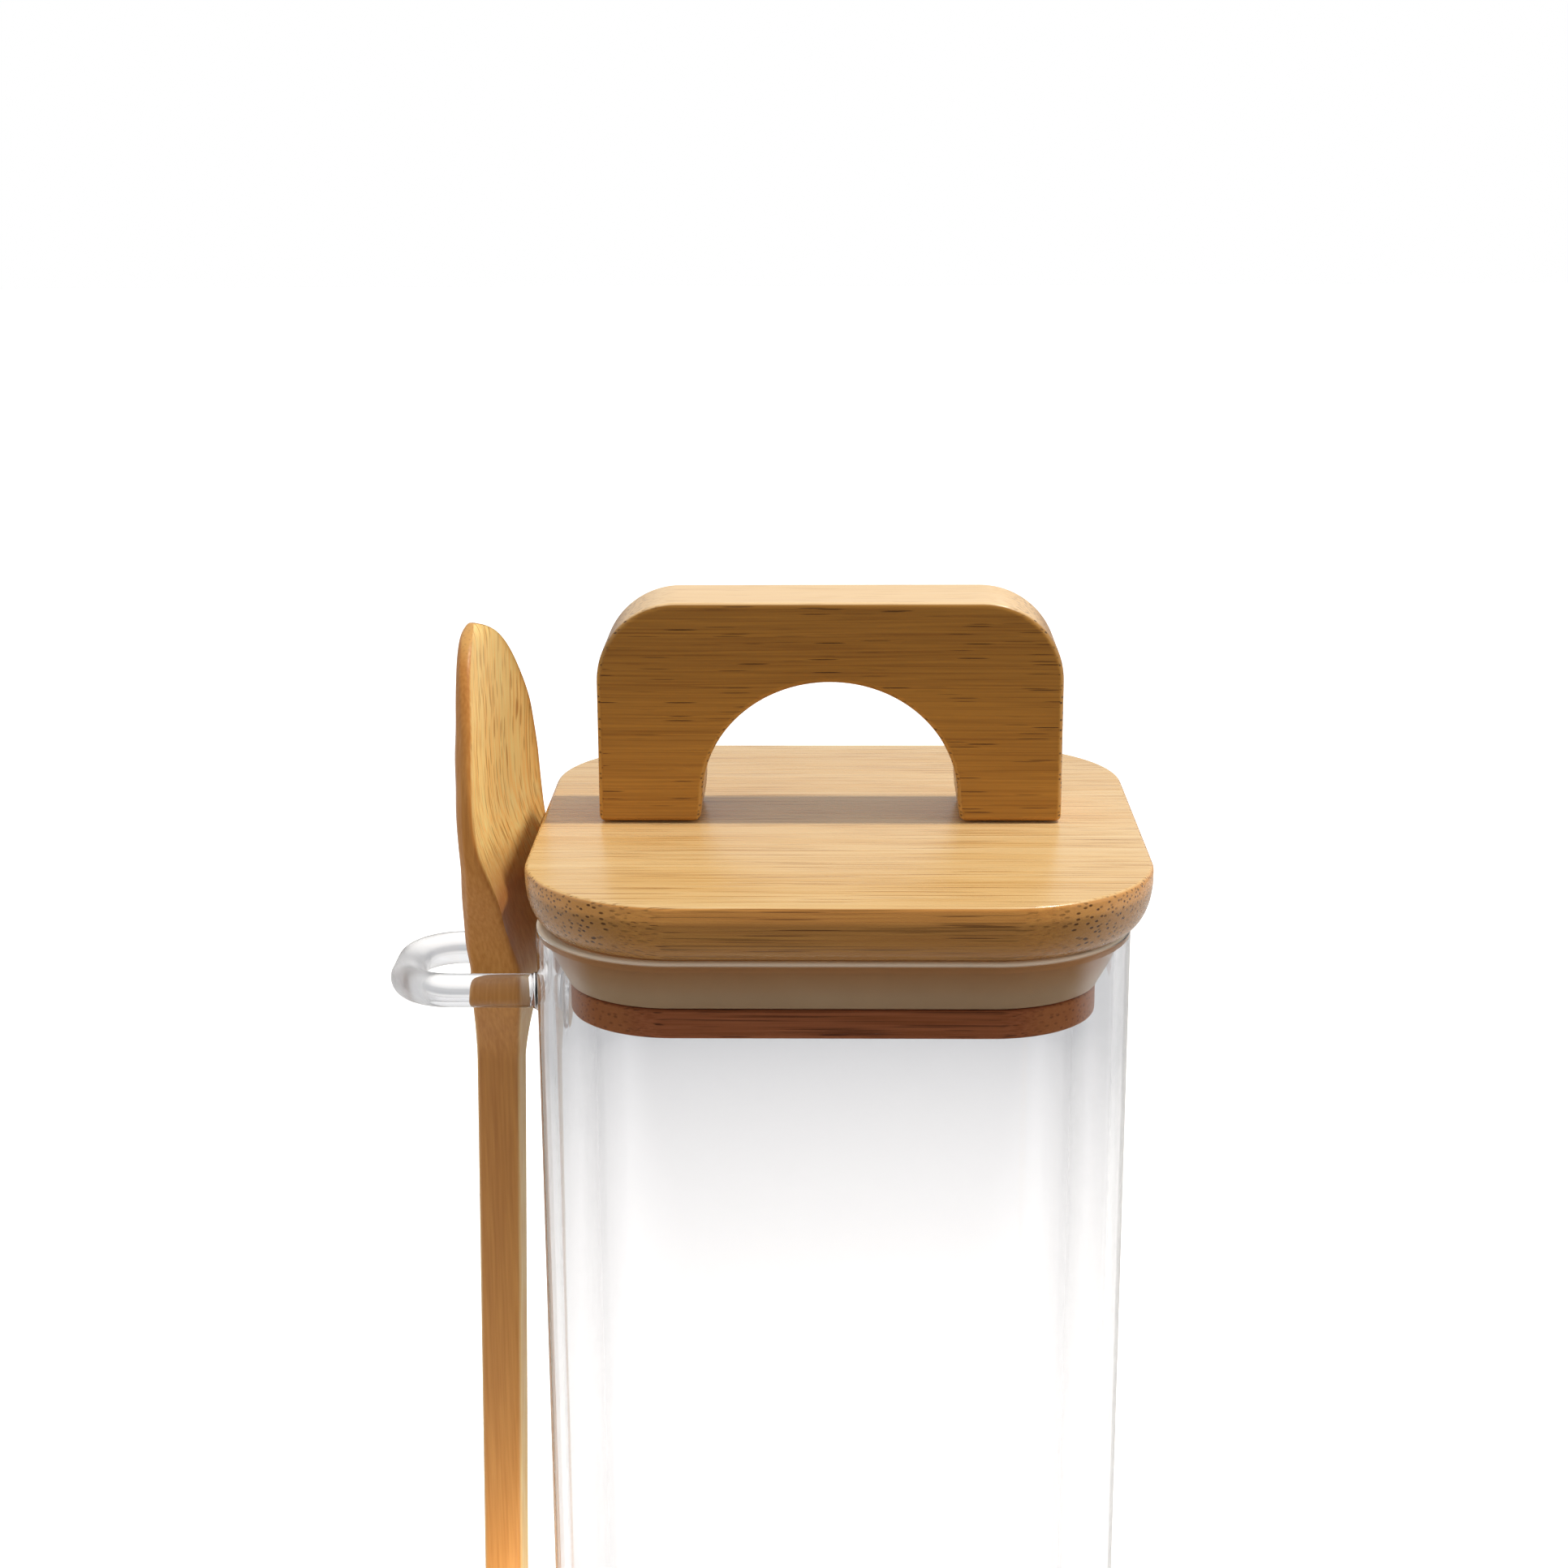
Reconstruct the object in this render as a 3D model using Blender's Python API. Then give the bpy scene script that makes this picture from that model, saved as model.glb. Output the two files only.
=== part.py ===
# Square glass canister with a bamboo lid, a silicone seal, and a long bamboo
# spoon that hangs in a glass loop on the left wall.
#
# Metres, +Z up. The origin is the middle of the jar's flat bottom. The front
# faces -Y and the spoon hangs on the -X side.

import math

import bmesh
import bpy
from mathutils import Matrix, Vector

# Shared clearances
FIT_GAP = 0.0003              # between pieces that touch
CUT_OVERRUN = 0.002           # how far a cutter runs past the face it opens

# Jar
JAR_WIDTH = 0.100             # outside, over the flats
JAR_HEIGHT = 0.200            # up to the rim
JAR_CORNER = 0.024            # outside corner radius, seen from above
JAR_WALL = 0.0025
JAR_BASE = 0.006
JAR_FOOT_ROUND = 0.005        # outside, under the foot
JAR_HEEL_ROUND = 0.004        # inside, where wall meets base
RIM_ROUND = 0.0009            # flame-polished rim

# Lid board
LID_OVERHANG = 0.0025         # past the jar's wall, all round
LID_THICK = 0.010
LID_EDGE_BAND = 0.002         # upright band under the top edge
LID_UNDERCUT = 0.0042         # how far the edge curves in underneath
LID_EASE = 0.0005             # top edge
LID_SHIFT = 0.0010            # to the right of the jar's middle

# Plug board
PLUG_SIDE_SPACE = 0.0032      # flange to the jar's bore
PLUG_FLANGE = 0.005           # flange thickness
PLUG_EASE = 0.0006            # flange edges
SEAL_SEAT = 0.0038            # how deep the core is set in from the flange

# Seal
SEAL_HEIGHT = 0.0093          # under the lid board
SEAL_LIP = 0.0038             # height of the upper lip
SEAL_LIP_STEP = 0.0007        # step in below the lip
SEAL_DRAFT = 0.0021           # how far the skirt tapers in
SEAL_ROUND = 0.0006

# Handle
HANDLE_WIDTH = 0.081
HANDLE_HEIGHT = 0.039
HANDLE_DEPTH = 0.018
HANDLE_CORNER = 0.0140        # outer corner radius
HANDLE_BAR = 0.0136           # top bar over the arch
HANDLE_LEG = 0.0182           # leg width over the foot
HANDLE_FOOT_FLARE = 0.0006    # how far a leg widens at its foot
HANDLE_FLARE_HEIGHT = 0.0045
HANDLE_EASE = 0.0010          # eased edges
HANDLE_SHIFT = -0.0005        # along X, from the jar's middle
HANDLE_BACK = 0.0050          # behind the lid's middle

# Screws
SCREW_RADIUS = 0.0020
SCREW_CORE_RADIUS = 0.0015    # between the threads
SCREW_HEAD_RADIUS = 0.0040
SCREW_HEAD_RIM = 0.0004       # upright rim of the head
SCREW_BITE = 0.0120           # into the handle
SCREW_POINT = 0.0030
SCREW_PITCH = 0.0016
SCREW_THREAD = 0.0200         # threaded length, above the point
SCREW_SINK = 0.0005           # head under the plug's face
CROSS_LENGTH = 0.0044         # cross recess in the head
CROSS_WIDTH = 0.0009
CROSS_DEPTH = 0.0014

# Loop
LOOP_ROD_RADIUS = 0.0030
LOOP_DROP = 0.0180            # rod's middle, below the rim
LOOP_SIDE_SPACE = 0.0062      # rod to the spoon's shaft, each side
LOOP_FREE = 0.0084            # behind the spoon, towards the loop's end
LOOP_CORNER = 0.0085          # bend radius of the rod's middle line
WELD_RADIUS = 0.0052          # where the rod meets the wall
WELD_LENGTH = 0.0050

# Spoon
SPOON_CLEAR = 0.0005          # off the lid's edge, or the jar's wall if that is wider
SPOON_TURN = math.radians(11.5)
SPOON_LEAN = math.radians(1.35)
SPOON_END_HEIGHT = 0.0325     # lower end, above the table
BOWL_WIDTH = 0.038
BOWL_RISE = 0.0633            # tip above the loop's middle
BOWL_EDGE = 0.0024            # edge thickness of the bowl
BOWL_SCOOP = 0.0040           # hollow of the face
BOWL_BELLY = 0.0050           # bulge of the back
FACE_FALL = 0.0075            # how far the face lies back at the tip
NECK_THICK = 0.0097
SHAFT_THICK = 0.0080
SHAFT_END_THICK = 0.0072
SHAFT_WIDTH = 0.0054
SHAFT_DROP = 0.0160           # from the loop's middle to the plain shaft
SHAFT_ROUND = 0.0009
SHAFT_END_ROUND = 0.0022

# Colour, roughness, metallic value and see-through share of each material
MATERIALS = {
    "borosilicate_glass": ((0.92, 0.96, 0.96), 0.02, 0.0, 1.0),
    "pale_bamboo": ((0.84, 0.58, 0.30), 0.38, 0.0, 0.0),
    "warm_bamboo": ((0.60, 0.33, 0.13), 0.45, 0.0, 0.0),
    "dark_bamboo": ((0.28, 0.12, 0.06), 0.50, 0.0, 0.0),
    "spoon_bamboo": ((0.76, 0.46, 0.16), 0.45, 0.0, 0.0),
    "milky_silicone": ((0.80, 0.78, 0.74), 0.50, 0.0, 0.0),
    "zinc_plated_steel": ((0.62, 0.62, 0.60), 0.30, 1.0, 0.0),
}

# How finely the curves are drawn
CORNER_STEPS = 9
EDGE_STEPS = 4
ROD_SIDES = 14
SCREW_SIDES = 14
BOWL_STATIONS = 30
FACE_POINTS = 7

# Places worked out from the sizes
JAR_HALF = JAR_WIDTH / 2
BORE_HALF = JAR_HALF - JAR_WALL
LID_HALF = JAR_HALF + LID_OVERHANG
FLANGE_HALF = BORE_HALF - PLUG_SIDE_SPACE
CORE_HALF = FLANGE_HALF - SEAL_SEAT

LID_LOW = JAR_HEIGHT + FIT_GAP
LID_TOP = LID_LOW + LID_THICK
SEAL_LOW = LID_LOW - FIT_GAP - SEAL_HEIGHT
FLANGE_TOP = SEAL_LOW - FIT_GAP
PLUG_LOW = FLANGE_TOP - PLUG_FLANGE
PLUG_TOP = LID_LOW - FIT_GAP
HANDLE_LOW = LID_TOP + FIT_GAP

ARCH_HALF = HANDLE_WIDTH / 2 - HANDLE_LEG
ARCH_HEIGHT = HANDLE_HEIGHT - HANDLE_BAR
SCREW_OUT = (ARCH_HALF + min(HANDLE_WIDTH / 2, CORE_HALF)) / 2   # where foot and core overlap
SCREW_LOW = PLUG_LOW + SCREW_SINK
SCREW_HIGH = HANDLE_LOW + SCREW_BITE

LOOP_HEIGHT = JAR_HEIGHT - LOOP_DROP
LOOP_ARM_OUT = SHAFT_WIDTH / 2 + LOOP_SIDE_SPACE + LOOP_ROD_RADIUS

# Shape of the spoon from the loop up to the tip. Each row holds the height as a
# share of the bowl's rise, the half width as a share of the bowl's half width,
# the edge thickness from neck (0) to bowl (1), the hollow, the belly, and the
# line of the face, forwards of the shaft (plus) or behind it (minus).
SPOON_SHARES = (
    (0.000, 0.400, 0.01, 0.00, 0.10, 0.295),
    (0.047, 0.447, 0.06, 0.00, 0.22, 0.318),
    (0.124, 0.530, 0.18, 0.12, 0.42, 0.194),
    (0.202, 0.647, 0.35, 0.38, 0.60, 0.105),
    (0.280, 0.785, 0.48, 0.64, 0.78, 0.085),
    (0.357, 0.905, 0.70, 0.83, 0.87, -0.035),
    (0.435, 0.980, 0.89, 0.95, 0.95, -0.200),
    (0.512, 1.000, 0.97, 1.00, 1.00, -0.290),
    (0.590, 0.978, 1.00, 1.00, 0.98, -0.338),
    (0.668, 0.930, 1.00, 0.95, 0.94, -0.392),
    (0.745, 0.856, 1.00, 0.85, 0.84, -0.445),
    (0.823, 0.743, 1.00, 0.70, 0.68, -0.560),
    (0.900, 0.586, 1.00, 0.47, 0.46, -0.700),
    (0.955, 0.410, 1.00, 0.25, 0.25, -0.830),
    (0.985, 0.250, 1.00, 0.12, 0.12, -0.940),
    (1.000, 0.100, 1.00, 0.05, 0.05, -1.000),
)

# Shapes that stay the same at any size
EDGE_ROUND_SHARE = 0.4        # largest corner radius in a spoon slice, of its thickness
CROSS_FLOOR_SHARE = 0.55      # floor of the cross recess, of its mouth
POINT_SHARE = 0.25            # blunt tip of a screw, of its core
UNDERCUT_START = -78          # degrees, where the lid's curved edge meets its underside
WELD_POWER = 2.5              # how fast the weld narrows to the rod
SKIRT_POWER = 1.5             # how the seal's taper grows downwards
NECK_POWER = 1.45             # how the shaft swells up to the neck
SMOOTH_ANGLE = math.radians(35)   # sharper edges stay crisp
EASE_ANGLE = math.radians(40)     # sharper edges are eased


def clear_scene():
    for item in list(bpy.data.objects):
        bpy.data.objects.remove(item, do_unlink=True)


def make_material(name, colour, roughness, metallic, transmission):
    material = bpy.data.materials.new(name)
    material.use_nodes = True
    shader = material.node_tree.nodes["Principled BSDF"]
    shader.inputs["Base Color"].default_value = (*colour, 1.0)
    shader.inputs["Roughness"].default_value = roughness
    shader.inputs["Metallic"].default_value = metallic
    shader.inputs["Transmission Weight"].default_value = transmission
    return material


def place_empty(name, spot):
    empty = bpy.data.objects.new(name, None)
    empty.location = spot
    bpy.context.collection.objects.link(empty)
    return empty


def add_object(name, mesh_data, material, parent=None, spot=(0, 0, 0)):
    item = bpy.data.objects.new(name, mesh_data)
    item.location = spot
    item.parent = parent
    if material:
        mesh_data.materials.append(material)
    bpy.context.collection.objects.link(item)
    return item


def smooth(item):
    item.data.shade_smooth()
    item.data.set_sharp_from_angle(angle=SMOOTH_ANGLE)


def loft(name, rings, wrap=False):
    """A closed body through rings of points: capped at both ends, or wrapped round."""
    work = bmesh.new()
    loops = [[work.verts.new(point) for point in ring] for ring in rings]
    pairs = list(zip(loops, loops[1:]))
    if wrap:
        pairs.append((loops[-1], loops[0]))
    for lower, upper in pairs:
        count = len(lower)
        for i in range(count):
            j = (i + 1) % count
            work.faces.new((lower[i], lower[j], upper[j], upper[i]))
    if not wrap:
        work.faces.new(loops[0])
        work.faces.new(loops[-1])
    bmesh.ops.recalc_face_normals(work, faces=work.faces)
    mesh_data = bpy.data.meshes.new(name)
    work.to_mesh(mesh_data)
    work.free()
    return mesh_data


def square_ring(half, corner, z):
    """A rounded square seen from above, anticlockwise."""
    points = []
    for quarter in range(4):
        start = quarter * math.pi / 2
        across = 1 if quarter in (0, 3) else -1
        along = 1 if quarter in (0, 1) else -1
        middle = Vector((across * (half - corner), along * (half - corner), z))
        for step in range(CORNER_STEPS + 1):
            angle = start + step / CORNER_STEPS * math.pi / 2
            points.append(middle + corner * Vector((math.cos(angle), math.sin(angle), 0)))
    return points


def inset_ring(half, z):
    """The jar's outline, moved in or out so that it stays parallel to the wall."""
    corner = JAR_CORNER - (JAR_HALF - half)
    return square_ring(half, max(corner, half / CORNER_STEPS), z)


def arc(middle_x, middle_z, radius_x, radius_z, start, end, steps):
    """Points of a part ellipse in a section, as pairs. Angles in degrees."""
    points = []
    for step in range(steps + 1):
        angle = math.radians(start + (end - start) * step / steps)
        points.append((middle_x + radius_x * math.cos(angle), middle_z + radius_z * math.sin(angle)))
    return points


def make_jar(material):
    foot = JAR_HALF - JAR_FOOT_ROUND
    heel = BORE_HALF - JAR_HEEL_ROUND
    rim = JAR_HEIGHT - RIM_ROUND
    section = arc(foot, JAR_FOOT_ROUND, JAR_FOOT_ROUND, JAR_FOOT_ROUND, -90, 0, EDGE_STEPS)
    section += arc(JAR_HALF - RIM_ROUND, rim, RIM_ROUND, RIM_ROUND, 0, 90, 2)
    section += arc(BORE_HALF + RIM_ROUND, rim, RIM_ROUND, RIM_ROUND, 90, 180, 2)
    section += arc(heel, JAR_BASE + JAR_HEEL_ROUND, JAR_HEEL_ROUND, JAR_HEEL_ROUND, 0, -90, EDGE_STEPS)
    rings = [inset_ring(half, z) for half, z in section]
    jar = add_object("jar_body", loft("jar_body", rings), material)
    smooth(jar)
    return jar


def loop_path(out_x):
    """Middle line of the rod, from the wall round the end and back, with its radius."""
    wall_x = -(JAR_HALF + FIT_GAP)
    end_x = -out_x + LOOP_ROD_RADIUS
    bend_x = end_x + LOOP_CORNER
    bend_y = LOOP_ARM_OUT - LOOP_CORNER
    half = []
    weld_steps = 5
    for step in range(weld_steps + 1):
        share = step / weld_steps
        radius = LOOP_ROD_RADIUS + (WELD_RADIUS - LOOP_ROD_RADIUS) * (1 - share) ** WELD_POWER
        half.append((wall_x - share * WELD_LENGTH, -LOOP_ARM_OUT, radius))
    for x, y in arc(bend_x, -bend_y, LOOP_CORNER, LOOP_CORNER, -90, -180, CORNER_STEPS):
        half.append((x, y, LOOP_ROD_RADIUS))
    return half + [(x, -y, radius) for x, y, radius in reversed(half)]


def make_loop(material, out_x):
    path = loop_path(out_x)
    rings = []
    for i, (x, y, radius) in enumerate(path):
        before = Vector(path[max(i - 1, 0)][:2])
        after = Vector(path[min(i + 1, len(path) - 1)][:2])
        ahead = (after - before).normalized()
        side = Vector((ahead.y, -ahead.x, 0))
        ring = []
        for step in range(ROD_SIDES):
            angle = 2 * math.pi * step / ROD_SIDES
            offset = side * math.cos(angle) + Vector((0, 0, 1)) * math.sin(angle)
            ring.append(Vector((x, y, LOOP_HEIGHT)) + radius * offset)
        rings.append(ring)
    rod = add_object("spoon_loop", loft("spoon_loop", rings), material)
    smooth(rod)
    return rod


def spoon_value(height_share, column):
    """A smooth curve through one column of the spoon's table."""
    rows = SPOON_SHARES
    last = len(rows) - 1
    k = max(i for i in range(last) if rows[i][0] <= height_share or i == 0)

    def slope(i):
        low, high = rows[max(i - 1, 0)], rows[min(i + 1, last)]
        return (high[column] - low[column]) / (high[0] - low[0])

    span = rows[k + 1][0] - rows[k][0]
    t = min(max((height_share - rows[k][0]) / span, 0), 1)
    rise = 3 * t ** 2 - 2 * t ** 3
    return (
        rows[k][column] * (1 - rise) + rows[k + 1][column] * rise
        + slope(k) * span * (t ** 3 - 2 * t ** 2 + t)
        + slope(k + 1) * span * (t ** 3 - t ** 2)
    )


def spoon_section(half_width, thick, scoop, belly, face, z):
    """One slice of the spoon. x runs from its back to its face, y across."""
    edge = min(SHAFT_ROUND, thick * EDGE_ROUND_SHARE, half_width * EDGE_ROUND_SHARE)
    flat = half_width - edge
    corner = edge * (1 - math.sqrt(0.5))
    across = [flat * (2 * i / (FACE_POINTS - 1) - 1) for i in range(FACE_POINTS)]
    back = face - thick

    def hollow(y):
        return 1 - (y / half_width) ** 2

    front_side = [(face - scoop * hollow(y), y) for y in across]
    back_side = [(back - belly * hollow(y), y) for y in reversed(across)]
    right = [(face - corner, half_width - corner), (face - edge, half_width),
             (back + edge, half_width), (back + corner, half_width - corner)]
    left = [(x, -y) for x, y in reversed(right)]
    return [Vector((x, y, z)) for x, y in front_side + right + back_side + left]


def spoon_rings():
    """Slices from the shaft's lower end to the tip, about the shaft's middle line."""
    low = SPOON_END_HEIGHT - LOOP_HEIGHT
    half = SHAFT_WIDTH / 2
    front = SHAFT_THICK / 2
    rings = []
    end_round = min(SHAFT_END_ROUND, min(half, SHAFT_END_THICK / 2) * 2 * EDGE_ROUND_SHARE)
    for x, z in arc(half - end_round, low + end_round, end_round, end_round, -60, 0, EDGE_STEPS):
        slim = half - x
        thick = SHAFT_END_THICK - 2 * slim
        rings.append(spoon_section(x, thick, 0, 0, thick / 2, z))
    neck_half = spoon_value(0, 1) * BOWL_WIDTH / 2
    neck_thick = NECK_THICK + (BOWL_EDGE - NECK_THICK) * spoon_value(0, 2)
    neck_face = FACE_FALL * spoon_value(0, 5)
    neck_belly = BOWL_BELLY * spoon_value(0, 4)
    neck_steps = 6
    for step in range(neck_steps):
        share = step / neck_steps
        blend = share ** NECK_POWER
        rings.append(spoon_section(
            half + (neck_half - half) * blend, SHAFT_THICK + (neck_thick - SHAFT_THICK) * blend,
            0, neck_belly * blend, front + neck_face * blend, -SHAFT_DROP * (1 - share)))
    for step in range(BOWL_STATIONS + 1):
        share = math.sin(step / BOWL_STATIONS * math.pi / 2)
        rings.append(spoon_section(
            spoon_value(share, 1) * BOWL_WIDTH / 2,
            NECK_THICK + (BOWL_EDGE - NECK_THICK) * spoon_value(share, 2),
            BOWL_SCOOP * spoon_value(share, 3), BOWL_BELLY * spoon_value(share, 4),
            front + FACE_FALL * spoon_value(share, 5), share * BOWL_RISE))
    place = Matrix.Rotation(SPOON_LEAN, 3, "Y") @ Matrix.Rotation(-SPOON_TURN, 3, "Z")
    return [[place @ point for point in ring] for ring in rings]


def seat_height(rings):
    """How far the spoon stands above the loop's middle when its neck meets the rods."""
    reach = LOOP_ROD_RADIUS + FIT_GAP
    lifts = []
    for ring in rings:
        for point in ring:
            aside = LOOP_ARM_OUT - abs(point.y)
            if abs(aside) < reach and point.z > -SHAFT_DROP:
                lifts.append(math.sqrt(reach ** 2 - aside ** 2) - point.z)
    return max(lifts)


def make_spoon(material, rings, spot, parent):
    spoon = add_object("spoon", loft("spoon", rings), material, parent, spot)
    smooth(spoon)
    return spoon


def make_lid_board(material, parent):
    """Board with an upright band at the top and an edge that curves in underneath."""
    curve_height = LID_THICK - LID_EDGE_BAND
    corner = JAR_CORNER + LID_OVERHANG
    section = arc(LID_HALF - LID_UNDERCUT, curve_height, LID_UNDERCUT, curve_height,
                  UNDERCUT_START, 0, 2 * EDGE_STEPS)
    low = section[0][1]
    section = [(x, curve_height * (z - low) / (curve_height - low)) for x, z in section]
    section += arc(LID_HALF - LID_EASE, LID_THICK - LID_EASE, LID_EASE, LID_EASE, 0, 90, 2)
    rings = [square_ring(half, corner - (LID_HALF - half), z) for half, z in section]
    spot = (LID_SHIFT, 0, LID_LOW - JAR_HEIGHT)
    board = add_object("lid_board", loft("lid_board", rings), material, parent, spot)
    smooth(board)
    return board


def make_plug_board(material, parent):
    section = [(FLANGE_HALF - PLUG_EASE, PLUG_LOW), (FLANGE_HALF, PLUG_LOW + PLUG_EASE),
               (FLANGE_HALF, FLANGE_TOP - PLUG_EASE), (FLANGE_HALF - PLUG_EASE, FLANGE_TOP),
               (CORE_HALF, FLANGE_TOP), (CORE_HALF, PLUG_TOP)]
    rings = [inset_ring(half, z - JAR_HEIGHT) for half, z in section]
    board = add_object("plug_board", loft("plug_board", rings), material, parent)
    smooth(board)
    return board


def make_seal(material, parent):
    """An upper lip against the bore, and a tapered skirt below it."""
    bore = BORE_HALF - FIT_GAP
    inner = CORE_HALF + FIT_GAP
    top = LID_LOW - FIT_GAP
    lip_low = top - SEAL_LIP
    skirt = bore - SEAL_LIP_STEP
    section = [(inner, top)]
    section += arc(bore - SEAL_ROUND, top - SEAL_ROUND, SEAL_ROUND, SEAL_ROUND, 90, 0, 2)
    section += arc(bore - SEAL_ROUND, lip_low + SEAL_ROUND, SEAL_ROUND, SEAL_ROUND, 0, -60, 2)
    section.append((skirt, lip_low))
    taper_steps = 5
    taper_low = SEAL_LOW + SEAL_ROUND
    for step in range(1, taper_steps + 1):
        share = step / taper_steps
        section.append((skirt - SEAL_DRAFT * share ** SKIRT_POWER, lip_low + (taper_low - lip_low) * share))
    section += [(skirt - SEAL_DRAFT - SEAL_ROUND, SEAL_LOW), (inner, SEAL_LOW)]
    rings = [inset_ring(half, z - JAR_HEIGHT) for half, z in section]
    seal = add_object("seal_ring", loft("seal_ring", rings, wrap=True), material, parent)
    smooth(seal)
    return seal


def handle_outline():
    """Front outline of the arch handle, anticlockwise from the left foot's inner corner."""
    half = HANDLE_WIDTH / 2
    straight = HANDLE_FLARE_HEIGHT
    arch_rise = ARCH_HEIGHT - straight
    steps = 2 * CORNER_STEPS
    inner = arc(0, straight, ARCH_HALF, arch_rise, 180, 0, steps)
    flare = ARCH_HALF + HANDLE_FOOT_FLARE
    flare_points = [(flare, 0), (ARCH_HALF + HANDLE_FOOT_FLARE / 3, straight / 2)]
    right_foot = list(reversed(flare_points))
    left_foot = [(-x, z) for x, z in flare_points]
    outer = arc(half - HANDLE_CORNER, HANDLE_HEIGHT - HANDLE_CORNER, HANDLE_CORNER, HANDLE_CORNER,
                0, 90, CORNER_STEPS)
    outer += arc(HANDLE_CORNER - half, HANDLE_HEIGHT - HANDLE_CORNER, HANDLE_CORNER, HANDLE_CORNER,
                 90, 180, CORNER_STEPS)
    return left_foot + inner + right_foot + [(half, 0)] + outer + [(-half, 0)]


def make_handle(material, parent):
    work = bmesh.new()
    front = -HANDLE_DEPTH / 2
    face = work.faces.new([work.verts.new((x, front, z)) for x, z in handle_outline()])
    grown = bmesh.ops.extrude_face_region(work, geom=[face])["geom"]
    moved = [part for part in grown if isinstance(part, bmesh.types.BMVert)]
    bmesh.ops.translate(work, verts=moved, vec=(0, HANDLE_DEPTH, 0))
    bmesh.ops.recalc_face_normals(work, faces=work.faces)
    mesh_data = bpy.data.meshes.new("lid_handle")
    work.to_mesh(mesh_data)
    work.free()
    spot = (HANDLE_SHIFT, HANDLE_BACK, HANDLE_LOW - JAR_HEIGHT)
    handle = add_object("lid_handle", mesh_data, material, parent, spot)
    ease = handle.modifiers.new("eased_edges", "BEVEL")
    ease.width = HANDLE_EASE
    ease.segments = 2
    ease.limit_method = "ANGLE"
    ease.angle_limit = EASE_ANGLE
    smooth(handle)
    return handle


def turned(name, section, sides):
    """A round solid about Z, from (radius, z) pairs that run upwards."""
    rings = []
    for radius, z in section:
        rings.append([Vector((radius * math.cos(2 * math.pi * i / sides),
                              radius * math.sin(2 * math.pi * i / sides), z)) for i in range(sides)])
    return loft(name, rings)


def add_cut(item, cutter, name):
    cutter.hide_render = True
    cutter.display_type = "WIRE"
    cut = item.modifiers.new(name, "BOOLEAN")
    cut.operation = "DIFFERENCE"
    cut.object = cutter


def head_section(low, grow):
    """Countersunk head from its face upwards, grown by the given clearance."""
    rim = low + SCREW_HEAD_RIM
    slope_top = rim + SCREW_HEAD_RADIUS - SCREW_RADIUS
    return [(SCREW_HEAD_RADIUS + grow, rim), (SCREW_RADIUS + grow, slope_top)]


def make_screw(name, material, parent, x):
    """Countersunk wood screw that points up into the foot of the handle."""
    rim, neck = head_section(SCREW_LOW, 0)
    point = SCREW_HIGH - SCREW_POINT
    section = [(SCREW_HEAD_RADIUS, SCREW_LOW), rim, neck]
    section.append((SCREW_RADIUS, point - SCREW_THREAD))
    turns = max(round(SCREW_THREAD / SCREW_PITCH), 1)
    pitch = SCREW_THREAD / turns
    for turn in range(turns):
        low = point - SCREW_THREAD + turn * pitch
        section.append((SCREW_CORE_RADIUS, low + pitch / 4))
        section.append((SCREW_CORE_RADIUS, low + pitch / 2))
        section.append((SCREW_RADIUS, low + pitch))
    section.append((SCREW_CORE_RADIUS * POINT_SHARE, SCREW_HIGH))
    section = [(radius, z - JAR_HEIGHT) for radius, z in section]
    spot = (x, HANDLE_BACK, 0)
    screw = add_object(name, turned(name, section, SCREW_SIDES), material, parent, spot)
    smooth(screw)
    bar = CROSS_LENGTH / 2
    slim = CROSS_WIDTH / 2
    low = SCREW_LOW - JAR_HEIGHT
    levels = ((low - CUT_OVERRUN, 1), (low, 1), (low + CROSS_DEPTH, CROSS_FLOOR_SHARE))
    corners = ((-1, -1), (1, -1), (1, 1), (-1, 1))
    for label, wide, deep in (("across", bar, slim), ("along", slim, bar)):
        rings = [[Vector((sx * wide * taper, sy * deep * taper, z)) for sx, sy in corners]
                 for z, taper in levels]
        slot = add_object(f"{name}_{label}_cutter", loft(f"{name}_{label}", rings), None, parent, spot)
        add_cut(screw, slot, f"cross_{label}")
    return screw


def cut_screw_hole(side, x, items, parent):
    """One hole: countersunk in the plug, plain in the board, blind in the handle's foot."""
    rim, neck = head_section(SCREW_LOW, FIT_GAP)
    open_low = PLUG_LOW - CUT_OVERRUN
    section = [(rim[0], open_low), rim, neck, (neck[0], SCREW_HIGH + FIT_GAP)]
    section = [(radius, z - JAR_HEIGHT) for radius, z in section]
    hole = turned(f"screw_hole_{side}", section, 2 * SCREW_SIDES)
    cutter = add_object(f"screw_hole_{side}_cutter", hole, None, parent, (x, HANDLE_BACK, 0))
    for item in items:
        add_cut(item, cutter, f"screw_hole_{side}")


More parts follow.
